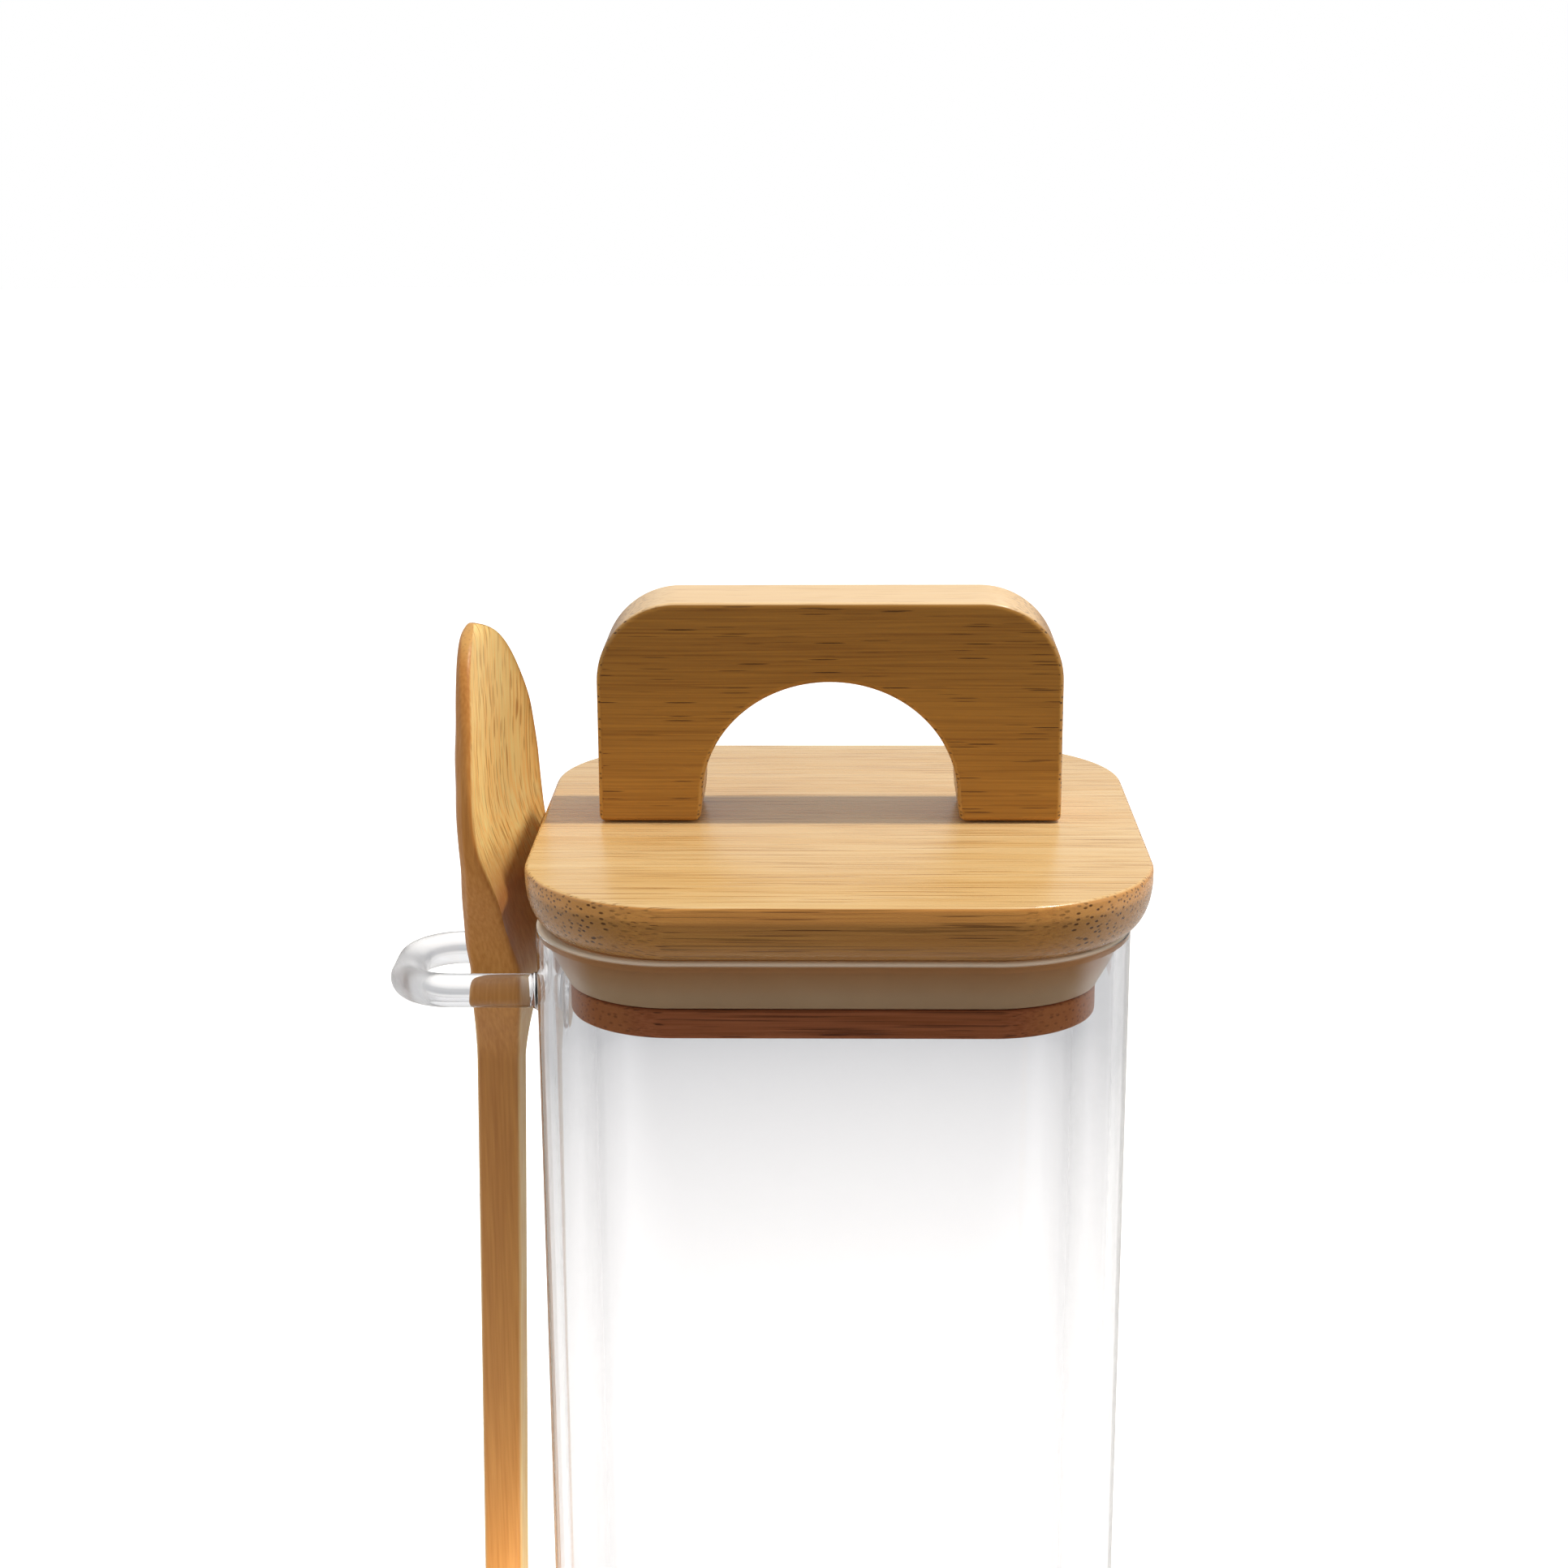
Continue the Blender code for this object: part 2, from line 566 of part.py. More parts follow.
def build():
    clear_scene()
    finish = {name: make_material(name, *look) for name, look in MATERIALS.items()}

    make_jar(finish["borosilicate_glass"])

    rings = spoon_rings()
    wall_x = -max(LID_HALF - LID_SHIFT, JAR_HALF)
    spoon_middle_x = wall_x - SPOON_CLEAR - max(p.x for ring in rings for p in ring)
    back_x = min(p.x for ring in rings for p in ring if abs(p.z) < 2 * LOOP_ROD_RADIUS)
    make_loop(finish["borosilicate_glass"], LOOP_FREE + 2 * LOOP_ROD_RADIUS - spoon_middle_x - back_x)
    spoon_axis = place_empty("spoon_axis", (spoon_middle_x, 0, LOOP_HEIGHT))
    make_spoon(finish["spoon_bamboo"], rings, (0, 0, seat_height(rings)), spoon_axis)

    lid_axis = place_empty("lid_axis", (0, 0, JAR_HEIGHT))
    board = make_lid_board(finish["pale_bamboo"], lid_axis)
    plug = make_plug_board(finish["dark_bamboo"], lid_axis)
    make_seal(finish["milky_silicone"], lid_axis)
    handle = make_handle(finish["warm_bamboo"], lid_axis)
    for side, x in (("left", HANDLE_SHIFT - SCREW_OUT), ("right", HANDLE_SHIFT + SCREW_OUT)):
        cut_screw_hole(side, x, (plug, board, handle), lid_axis)
        make_screw(f"handle_screw_{side}", finish["zinc_plated_steel"], lid_axis, x)


build()
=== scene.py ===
import math

import bmesh
import bpy
from mathutils import Matrix, Vector


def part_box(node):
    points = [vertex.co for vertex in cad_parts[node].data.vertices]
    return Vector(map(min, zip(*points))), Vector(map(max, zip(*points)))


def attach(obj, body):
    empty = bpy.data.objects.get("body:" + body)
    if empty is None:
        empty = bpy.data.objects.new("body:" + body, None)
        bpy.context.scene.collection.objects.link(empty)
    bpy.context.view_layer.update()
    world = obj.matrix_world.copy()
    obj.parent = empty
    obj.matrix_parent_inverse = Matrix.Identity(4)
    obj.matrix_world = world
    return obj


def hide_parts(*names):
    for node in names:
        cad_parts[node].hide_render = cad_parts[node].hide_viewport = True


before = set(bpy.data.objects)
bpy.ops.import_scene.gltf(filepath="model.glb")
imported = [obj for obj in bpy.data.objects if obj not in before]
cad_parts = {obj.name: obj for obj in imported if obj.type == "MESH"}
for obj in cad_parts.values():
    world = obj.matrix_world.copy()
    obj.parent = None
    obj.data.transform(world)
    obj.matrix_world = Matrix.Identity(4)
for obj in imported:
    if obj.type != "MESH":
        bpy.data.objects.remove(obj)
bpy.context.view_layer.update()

mm = 0.001
print("frame loaded")

# Small helpers for colours, nodes and meshes
white = (1.0, 1.0, 1.0, 1.0)
softDetail, someDetail, fineDetail = 1.0, 2.0, 3.0      # how much finer texture a noise carries
valueA, valueB, colourA, colourB = 2, 3, 6, 7           # a mix node's sockets share their names
mixedColour = 2


def toLinear(hexColour):
    parts = [int(hexColour[i:i + 2], 16) / 255 for i in (1, 3, 5)]
    return [c / 12.92 if c < 0.04045 else ((c + 0.055) / 1.055) ** 2.4 for c in parts] + [1.0]


def addNode(tree, kind, links=None, **settings):
    node = tree.nodes.new(kind)
    for name, value in settings.items():
        setattr(node, name, value)
    for socket, value in (links or {}).items():
        if isinstance(value, bpy.types.NodeSocket):
            tree.links.new(value, node.inputs[socket])
        else:
            node.inputs[socket].default_value = value
    return node


def newMaterial(name):
    material = bpy.data.materials.new(name)
    material.use_nodes = True
    material.node_tree.nodes.clear()
    return material, material.node_tree


def arc(centre, radii, start, end, steps):
    # points of a part ellipse in a section, as (distance out, height)
    points = []
    for step in range(steps + 1):
        angle = math.radians(start + (end - start) * step / steps)
        points.append((centre[0] + radii[0] * math.cos(angle), centre[1] + radii[1] * math.sin(angle)))
    return points


def around(sides):
    # angles of the points of a full circle
    return [2 * math.pi * k / sides for k in range(sides)]


def roundedSquare(middle, half, corner, z, steps=24):
    points = []
    for quarter, (across, along) in enumerate(((1, 1), (-1, 1), (-1, -1), (1, -1))):
        for step in range(steps + 1):
            angle = (quarter + step / steps) * math.pi / 2
            points.append(Vector((
                middle.x + across * (half - corner) + corner * math.cos(angle),
                middle.y + along * (half - corner) + corner * math.sin(angle), z)))
    return points


def bridgeRings(work, rings, wrap=False):
    loops = [[work.verts.new(point) for point in ring] for ring in rings]
    pairs = list(zip(loops, loops[1:]))
    if wrap:
        pairs.append((loops[-1], loops[0]))
    for low, high in pairs:
        for i in range(len(low)):
            j = (i + 1) % len(low)
            work.faces.new((low[i], low[j], high[j], high[i]))
    if not wrap:
        work.faces.new(loops[0])
        work.faces.new(loops[-1])


def finishMesh(name, work, material, sharpAngle=35):
    bmesh.ops.recalc_face_normals(work, faces=work.faces)
    meshData = bpy.data.meshes.new(name)
    work.to_mesh(meshData)
    work.free()
    meshData.materials.append(material)
    piece = bpy.data.objects.new(name, meshData)
    bpy.context.scene.collection.objects.link(piece)
    meshData.shade_smooth()
    meshData.set_sharp_from_angle(angle=math.radians(sharpAngle))
    return piece


def squareSolid(name, middle, section, flat, material, wrap=False):
    # section: (half width, height) pairs; flat: half the straight part of a side, the same in each pair
    work = bmesh.new()
    rings = [roundedSquare(middle, half, half - flat, z) for half, z in section]
    bridgeRings(work, rings, wrap)
    return finishMesh(name, work, material)


def applyModifiers(piece):
    view = bpy.context.evaluated_depsgraph_get()
    made = bpy.data.meshes.new_from_object(piece.evaluated_get(view))
    piece.modifiers.clear()
    piece.data = made


# Camera, at the photograph's place and angle
cameraSettings = {
    "place": (0.0010, -0.4473, 0.3367),
    "degreesDown": 15.05,
    "degreesLeft": 1.23,
    "degreesRolled": -0.30,
    "pictureSide": 1932,
    "focalPixels": 3236,
    "sensor": 36.0,
    "lightBounces": 24,         # enough to pass both walls of the jar and the loop
}

cameraData = bpy.data.cameras.new("photoCamera")
cameraData.sensor_width = cameraSettings["sensor"]
cameraData.lens = cameraSettings["focalPixels"] / cameraSettings["pictureSide"] * cameraSettings["sensor"]
camera = bpy.data.objects.new("photoCamera", cameraData)
aim = Matrix.Rotation(math.radians(cameraSettings["degreesLeft"]), 4, "Z")
aim = aim @ Matrix.Rotation(math.radians(90 - cameraSettings["degreesDown"]), 4, "X")
aim = aim @ Matrix.Rotation(math.radians(cameraSettings["degreesRolled"]), 4, "Z")
camera.matrix_world = Matrix.Translation(cameraSettings["place"]) @ aim
scene = bpy.context.scene
scene.collection.objects.link(camera)
scene.camera = camera
scene.view_settings.view_transform = "Standard"
scene.cycles.max_bounces = cameraSettings["lightBounces"]
scene.cycles.transmission_bounces = cameraSettings["lightBounces"]
scene.cycles.glossy_bounces = cameraSettings["lightBounces"]
print("camera placed")


# Light, floor and background. A turn is the pair of directions between which the
# room's light changes from its first level to its second.
studio = {
    "keyDegreesUp": 67.6,
    "keyDistance": 1.3,
    "keySize": (0.055, 0.055),
    "keyWatts": 11.7,
    "keyColour": "#FFF8EE",
    "rightSize": (0.6, 0.6),
    "rightWatts": 2.6,
    "rightPlace": (0.95, -0.30, 0.42),
    "leftSize": (0.10, 0.10),
    "leftWatts": 0.050,
    "leftPlace": (-0.22, -0.20, 0.260),
    "lowSize": (0.03, 0.01),
    "lowWatts": 0.030,
    "lowPlace": (-0.060, -0.034, 0.040),
    "baseSize": (0.03, 0.03),
    "baseWatts": 0.015,
    "basePlace": (-0.020, -0.002, 0.046),
    "ambientTurn": (-1.0, 0.3),         # from the front to the back
    "ambientLevels": (0.37, 0.45),
    "fromLeftTurn": (0.0, -1.0),        # from the middle to the left, and only low down
    "fromLeftLevels": (0.0, 0.80),
    "lowDownTurn": (0.5, 0.1),
    "lowDownLevels": (0.0, 1.0),
    "mirroredTurn": (-0.6, 0.2),        # from the front to the back, as shiny faces mirror it
    "mirroredLevels": (0.035, 0.70),
    "seenThroughGlass": 0.97,
    "seenByCamera": 1.0,
    "floorSize": 8.0,
    "floorDrop": 0.2 * mm,
    "floorColour": "#F4F4F4",
    "floorFibre": 1.1111 * mm,
    "floorMirrored": "#1E1C1A",
    "floorFront": -0.2,
    "floorBounced": "#B4B4B4",
    "floorCameraGlow": 0.75,
    "floorNearGlow": 0.40,
    "floorFarShade": "#E0E3E8",
    "floorNear": 0.19,
    "floorFar": 0.46,
    "floorFade": 0.6,
    "floorClearFrom": 0.80,
    "floorClearTo": 1.40,
}


def addLamp(name, part, place, aim, colour="#FFFFFF", mirrored=False):
    lamp = bpy.data.lights.new(name, "AREA")
    lamp.shape = "RECTANGLE"
    lamp.size, lamp.size_y = studio[part + "Size"]
    lamp.energy = studio[part + "Watts"]
    lamp.color = toLinear(colour)[:3]
    holder = bpy.data.objects.new(name, lamp)
    holder.location = place
    holder.rotation_euler = (Vector(place) - aim).to_track_quat("Z", "Y").to_euler()
    holder.visible_camera = False
    holder.visible_glossy = mirrored
    holder.visible_transmission = mirrored
    scene.collection.objects.link(holder)


lidMiddle = (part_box("lid_board")[0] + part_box("lid_board")[1]) / 2
keyAngle = math.radians(studio["keyDegreesUp"])
keyPlace = lidMiddle + Vector((math.cos(keyAngle), 0, math.sin(keyAngle))) * studio["keyDistance"]
addLamp("keySoftbox", "key", keyPlace, lidMiddle, studio["keyColour"], True)
addLamp("rightSoftbox", "right", studio["rightPlace"], lidMiddle)
addLamp("leftCard", "left", studio["leftPlace"], lidMiddle)
# two small strips for what the white floor and the jar's thick base send to the spoon's lower end
addLamp("lowStrip", "low", studio["lowPlace"], lidMiddle)
addLamp("baseStrip", "base", studio["basePlace"], Vector(studio["basePlace"]) - Vector((1, 0, 0)))


def mirroredRays(tree, path):
    # rays off a shiny face, also off the inner faces of the glass
    once = addNode(tree, "ShaderNodeMath", {0: path["Glossy Depth"], 1: 1.0}, operation="MINIMUM").outputs[0]
    return addNode(tree, "ShaderNodeMath", {
        0: once, 1: path["Is Glossy Ray"]}, operation="MULTIPLY").outputs[0]


world = bpy.data.worlds.new("studioRoom")
scene.world = world
world.use_nodes = True
room = world.node_tree
room.nodes.clear()
direction = addNode(room, "ShaderNodeTexCoord").outputs["Generated"]
sides = addNode(room, "ShaderNodeSeparateXYZ", {"Vector": direction}).outputs
levels = {}
for name, axis in (("ambient", "Y"), ("fromLeft", "X"), ("lowDown", "Z"), ("mirrored", "Y")):
    start, end = studio[name + "Turn"]
    first, second = studio[name + "Levels"]
    levels[name] = addNode(room, "ShaderNodeMapRange", {
        "Value": sides[axis], "From Min": start, "From Max": end,
        "To Min": first, "To Max": second}).outputs["Result"]
level = addNode(room, "ShaderNodeMath", {
    0: levels["fromLeft"], 1: levels["lowDown"], 2: levels["ambient"]}, operation="MULTIPLY_ADD").outputs[0]
path = addNode(room, "ShaderNodeLightPath").outputs
for rays, strength in ((path["Is Transmission Ray"], studio["seenThroughGlass"]),
                       (mirroredRays(room, path), levels["mirrored"]),
                       (path["Is Camera Ray"], studio["seenByCamera"])):
    level = addNode(room, "ShaderNodeMix", {"Factor": rays, valueA: level, valueB: strength}).outputs[0]
backdrop = addNode(room, "ShaderNodeBackground", {"Color": white, "Strength": level}).outputs[0]
addNode(room, "ShaderNodeOutputWorld", {"Surface": backdrop})


# Paper sweep, uncoated and matte, in white. Shiny faces mirror it dark in front, where
# nothing lights it. Through the glass it is bright by the jar, greyer behind it, and
# bright again where it rises into the background. Its real fibres are too fine to show,
# so they are drawn about a millimetre long.
def mattePaper():
    material, tree = newMaterial("mattePaperSweep")
    spot = addNode(tree, "ShaderNodeTexCoord").outputs["Object"]
    depth = addNode(tree, "ShaderNodeSeparateXYZ", {"Vector": spot}).outputs["Y"]
    away = addNode(tree, "ShaderNodeVectorMath", {0: spot}, operation="LENGTH").outputs["Value"]
    near = addNode(tree, "ShaderNodeMapRange", {
        "Value": away, "From Min": studio["floorNear"], "From Max": studio["floorFar"],
        "To Min": 1.0, "To Max": 0.0}).outputs["Result"]
    near = addNode(tree, "ShaderNodeMath", {0: near, 1: studio["floorFade"]}, operation="POWER").outputs[0]
    clear = addNode(tree, "ShaderNodeMapRange", {
        "Value": away, "From Min": studio["floorClearFrom"],
        "From Max": studio["floorClearTo"]}).outputs["Result"]
    bright = addNode(tree, "ShaderNodeMath", {0: near, 1: clear}, operation="MAXIMUM").outputs[0]
    front = addNode(tree, "ShaderNodeMapRange", {
        "Value": depth, "From Min": 0.0, "From Max": studio["floorFront"]}).outputs["Result"]
    fibre = addNode(tree, "ShaderNodeTexNoise", {
        "Vector": spot, "Scale": 1 / studio["floorFibre"], "Detail": someDetail}).outputs["Fac"]
    paper = addNode(tree, "ShaderNodeMix", {
        "Factor": fibre, colourA: toLinear(studio["floorColour"]), colourB: white},
        data_type="RGBA").outputs[mixedColour]

    # how much of a ray sees the dark front, all but the front, and the greyer part behind
    path = addNode(tree, "ShaderNodeLightPath").outputs
    inFront = addNode(tree, "ShaderNodeMath", {
        0: mirroredRays(tree, path), 1: front}, operation="MULTIPLY").outputs[0]
    notFront, far = [addNode(tree, "ShaderNodeMath", {
        0: 1.0, 1: share}, operation="SUBTRACT").outputs[0] for share in (inFront, bright)]
    beyond = addNode(tree, "ShaderNodeMath", {
        0: path["Is Transmission Ray"], 1: far}, operation="MULTIPLY").outputs[0]
    for amount, colour in ((path["Is Diffuse Ray"], "floorBounced"), (beyond, "floorFarShade"),
                           (inFront, "floorMirrored")):
        paper = addNode(tree, "ShaderNodeMix", {
            "Factor": amount, colourA: paper, colourB: toLinear(studio[colour])},
            data_type="RGBA").outputs[mixedColour]
    glow = bright
    for share in (notFront, studio["floorNearGlow"], path["Is Transmission Ray"]):
        glow = addNode(tree, "ShaderNodeMath", {0: glow, 1: share}, operation="MULTIPLY").outputs[0]
    glow = addNode(tree, "ShaderNodeMix", {
        "Factor": path["Is Camera Ray"], valueA: glow, valueB: studio["floorCameraGlow"]}).outputs[0]
    matte = addNode(tree, "ShaderNodeBsdfDiffuse", {"Color": paper}).outputs[0]
    glowing = addNode(tree, "ShaderNodeEmission", {"Color": white, "Strength": glow}).outputs[0]
    both = addNode(tree, "ShaderNodeAddShader", {0: matte, 1: glowing}).outputs[0]
    addNode(tree, "ShaderNodeOutputMaterial", {"Surface": both})
    return material


work = bmesh.new()
side = studio["floorSize"] / 2
corners = ((-side, -side), (side, -side), (side, side), (-side, side))
work.faces.new([work.verts.new((x, y, -studio["floorDrop"])) for x, y in corners])
floor = finishMesh("paperFloor", work, mattePaper())
print("studio ready")


# Laminated bamboo, planed, sanded and lacquered. Its fibres run along the grain, so a
# cut along them shows fine streaks and short dark flecks, and a cut across them shows
# pores. The lacquer gives a soft sheen that blurs what it mirrors.
def bamboo(name, look):
    material, tree = newMaterial(name)
    places = addNode(tree, "ShaderNodeTexCoord").outputs
    turn = {"X": 0, "Z": math.pi / 2}[look["grain"]]
    inMm = addNode(tree, "ShaderNodeMapping", {
        "Vector": places["Object"], "Rotation": (0, turn, 0), "Scale": (1 / mm,) * 3}).outputs[0]
    drift = addNode(tree, "ShaderNodeTexNoise", {
        "Vector": inMm, "Scale": 1 / look["driftLength"], "Detail": softDetail}).outputs["Color"]
    drift = addNode(tree, "ShaderNodeVectorMath", {
        0: drift, 1: (0, look["driftWidth"], look["driftWidth"])}, operation="MULTIPLY").outputs[0]
    fibres = addNode(tree, "ShaderNodeVectorMath", {0: inMm, 1: drift}, operation="ADD").outputs[0]

    def stretched(sizes, spots=fibres):
        scale = [1 / size for size in sizes]
        return addNode(tree, "ShaderNodeVectorMath", {0: spots, 1: scale}, operation="MULTIPLY").outputs[0]

    def dots(mark, spots, dimensions):
        # rounded cells with a soft rim, some of them darker than others
        radius = look[mark + "Radius"]
        cells = addNode(tree, "ShaderNodeTexVoronoi", {
            "Vector": stretched(look[mark], spots), "Scale": 1.0}, voronoi_dimensions=dimensions).outputs
        near = addNode(tree, "ShaderNodeMapRange", {
            "Value": cells["Distance"], "From Min": radius, "From Max": radius * look["dotCore"]},
            interpolation_type="SMOOTHSTEP").outputs["Result"]
        chance = addNode(tree, "ShaderNodeSeparateColor", {"Color": cells["Color"]}).outputs["Red"]
        chosen = addNode(tree, "ShaderNodeMapRange", {
            "Value": chance, "From Min": look[mark + "Rarity"], "From Max": 1.0}).outputs["Result"]
        return addNode(tree, "ShaderNodeMath", {0: near, 1: chosen}, operation="MULTIPLY").outputs[0]

    # whole strips, glued side by side; none ends within the board
    strip = addNode(tree, "ShaderNodeVectorMath", {
        0: stretched(look["strip"]), 1: (look["stripStart"], 0, 0)}, operation="ADD").outputs[0]
    strip = addNode(tree, "ShaderNodeVectorMath", {0: strip}, operation="FLOOR").outputs[0]
    stripTone = addNode(tree, "ShaderNodeTexWhiteNoise", {"Vector": strip}).outputs["Value"]
    cloud, streak, hair = [addNode(tree, "ShaderNodeTexNoise", {
        "Vector": stretched(look[part]), "Scale": 1.0, "Detail": detail}).outputs["Fac"]
        for part, detail in (("cloud", someDetail), ("streak", fineDetail), ("hair", softDetail))]
    hair = addNode(tree, "ShaderNodeMapRange", {
        "Value": hair, "From Min": look["hairFrom"], "From Max": look["hairTo"]}).outputs["Result"]
    fleck = dots("fleck", fibres, "3D")
    section = addNode(tree, "ShaderNodeMapping", {
        "Vector": fibres, "Rotation": (0, math.pi / 2, 0)}).outputs[0]
    pore = dots("pore", section, "2D")

    # the pale face, drawn paler than the other sides as painted light on the lit face and painted shade on
    # the rest, and the ends that are cut across the grain
    normal = addNode(tree, "ShaderNodeSeparateXYZ", {"Vector": places["Normal"]}).outputs
    across = addNode(tree, "ShaderNodeMath", {0: normal[look["grain"]]}, operation="ABSOLUTE").outputs[0]
    pale, across = [addNode(tree, "ShaderNodeMapRange", {
        "Value": value, "From Min": look[part + "From"], "From Max": look[part + "To"]},
        interpolation_type="SMOOTHSTEP").outputs["Result"]
        for part, value in (("pale", normal[look["paleAxis"]]), ("across", across))]
    along = addNode(tree, "ShaderNodeMath", {0: 1.0, 1: across}, operation="SUBTRACT").outputs[0]
    hair, fleck, pore = [addNode(tree, "ShaderNodeMath", {
        0: mark, 1: cut}, operation="MULTIPLY").outputs[0]
        for mark, cut in ((hair, along), (fleck, along), (pore, across))]
    height = addNode(tree, "ShaderNodeSeparateXYZ", {"Vector": places["Object"]}).outputs["Z"]
    mirror = look["mirrorShare"]
    if "bowlFrom" in look:
        shaft, bowl = [addNode(tree, "ShaderNodeMapRange", {
            "Value": height, "From Min": look[part + "From"] * mm,
            "From Max": look[part + "To"] * mm}).outputs["Result"] for part in ("shaft", "bowl")]
        mirror = addNode(tree, "ShaderNodeMix", {
            "Factor": shaft, valueA: mirror, valueB: look["shaftMirrorShare"]}).outputs[0]
        # dark fibres show on the bowl's face. Painted light and shade: the face is drawn pale only on the
        # bowl, above where the lid's shadow falls, and darker on the neck below it; the shaft's sides are
        # drawn paler from the neck down, as if lit through the jar
        pale = addNode(tree, "ShaderNodeMath", {0: pale, 1: bowl}, operation="MULTIPLY").outputs[0]
        hair, fleck = [addNode(tree, "ShaderNodeMath", {0: mark, 1: pale}, operation="MULTIPLY").outputs[0]
                       for mark in (hair, fleck)]
        side = addNode(tree, "ShaderNodeMath", {0: normal["X"]}, operation="ABSOLUTE").outputs[0]
        side = addNode(tree, "ShaderNodeMapRange", {
            "Value": side, "From Min": look["shaftSideFrom"], "From Max": look["shaftSideTo"],
            "To Max": look["shaftSidePaintedLight"]}).outputs["Result"]
        pale = addNode(tree, "ShaderNodeMath", {
            0: side, 1: shaft, 2: pale}, operation="MULTIPLY_ADD").outputs[0]

    # painted light and shade: each pair gives the lit face its paler colour and the other sides their darker
    # one
    def litFaceOrShadedSide(colours):
        return addNode(tree, "ShaderNodeMix", {
            "Factor": pale, colourA: toLinear(colours[1]), colourB: toLinear(colours[0])},
            data_type="RGBA").outputs[mixedColour]

    # tone of the strip, its slow clouds and its fine streaks; then each kind of mark over it
    tone = addNode(tree, "ShaderNodeMath", {
        0: stripTone, 1: look["stripShare"]}, operation="MULTIPLY").outputs[0]
    for value, share in ((cloud, look["cloudShare"]), (streak, look["streakShare"])):
        part = addNode(tree, "ShaderNodeMapRange", {
            "Value": value, "From Min": look["noiseFrom"], "From Max": look["noiseTo"],
            "To Max": share}).outputs["Result"]
        tone = addNode(tree, "ShaderNodeMath", {0: tone, 1: part}, operation="ADD", use_clamp=True).outputs[0]
    wood = addNode(tree, "ShaderNodeMix", {
        "Factor": tone, colourA: litFaceOrShadedSide(look["light"]), colourB: litFaceOrShadedSide(look["dark"])},
        data_type="RGBA").outputs[mixedColour]
    for kind, mark in (("end", across), ("hair", hair), ("fleck", fleck), ("pore", pore)):
        amount = addNode(tree, "ShaderNodeMath", {
            0: mark, 1: look[kind + "Share"]}, operation="MULTIPLY").outputs[0]
        wood = addNode(tree, "ShaderNodeMix", {
            "Factor": amount, colourA: wood, colourB: litFaceOrShadedSide(look[kind + "Colours"])},
            data_type="RGBA").outputs[mixedColour]
    # painted shade: past a given height the sides are drawn darker, the lid board's below its upright band
    # and the handle's towards the top; the pale face keeps its colour
    if "paintedShadeFrom" in look:
        paintedShade = addNode(tree, "ShaderNodeMapRange", {
            "Value": height, "From Min": look["paintedShadeFrom"] * mm, "From Max": look["paintedShadeTo"] * mm,
            "To Min": 1.0, "To Max": look["paintedShadeDarkest"]}).outputs["Result"]
        paintedShade = addNode(tree, "ShaderNodeMix", {"Factor": pale, valueA: paintedShade, valueB: 1.0}).outputs[0]
        wood = addNode(tree, "ShaderNodeVectorMath", {
            0: wood, "Scale": paintedShade}, operation="SCALE").outputs[0]

    sheen = addNode(tree, "ShaderNodeMapRange", {
        "Value": streak, "From Min": look["noiseFrom"], "From Max": look["noiseTo"],
        "To Min": look["roughness"] - look["smoother"],
        "To Max": look["roughness"] + look["rougher"]}).outputs["Result"]
    # flecks and pores lie a little lower than the fibres between them
    relief = streak
    for mark in (fleck, pore):
        relief = addNode(tree, "ShaderNodeMath", {0: relief, 1: mark}, operation="SUBTRACT").outputs[0]
    bump = addNode(tree, "ShaderNodeBump", {
        "Height": relief, "Strength": look["bumpShare"], "Distance": look["bumpDepth"] * mm}).outputs[0]
    shader = addNode(tree, "ShaderNodeBsdfPrincipled", {
        "Base Color": wood, "Roughness": sheen, "IOR": look["ior"],
        "Specular IOR Level": mirror, "Normal": bump}).outputs[0]
    addNode(tree, "ShaderNodeOutputMaterial", {"Surface": shader})
    return material


# Sizes and heights in millimetres; sizes are along the grain, across it, and the other
# way across it. Colours in pairs: on the pale face, painted paler as if lit, and on the
# other sides, painted darker as if shaded. Radius and dot core are shares of a cell, and
# from and to are where a pattern or a face turns over.
plainGrain = {
    "grain": "X", "driftLength": 60, "driftWidth": 1.0,
    "strip": (900, 6.0, 40.0), "stripStart": 0.5, "stripShare": 0.16,
    "cloud": (90, 9, 9), "cloudShare": 0.30,
    "streak": (30, 0.36, 0.36), "streakShare": 0.55, "noiseFrom": 0.3, "noiseTo": 0.7,
    "hair": (40, 0.34, 0.34), "hairFrom": 0.58, "hairTo": 0.70, "hairShare": 0.6,
    "fleck": (13, 0.44, 0.44), "fleckRadius": 0.27, "fleckRarity": 0.15, "fleckShare": 0.9,
    "pore": (0.95, 0.95, 300), "poreRadius": 0.25, "poreRarity": -0.8, "poreShare": 0.95, "dotCore": 0.6,
    "acrossFrom": 0.22, "acrossTo": 0.50, "endShare": 0.7,
    "paleAxis": "Z", "paleFrom": 0.55, "paleTo": 0.85,
    "roughness": 0.26, "smoother": 0.04, "rougher": 0.05, "ior": 1.48, "mirrorShare": 0.5,
    "bumpShare": 0.25, "bumpDepth": 0.1,
}

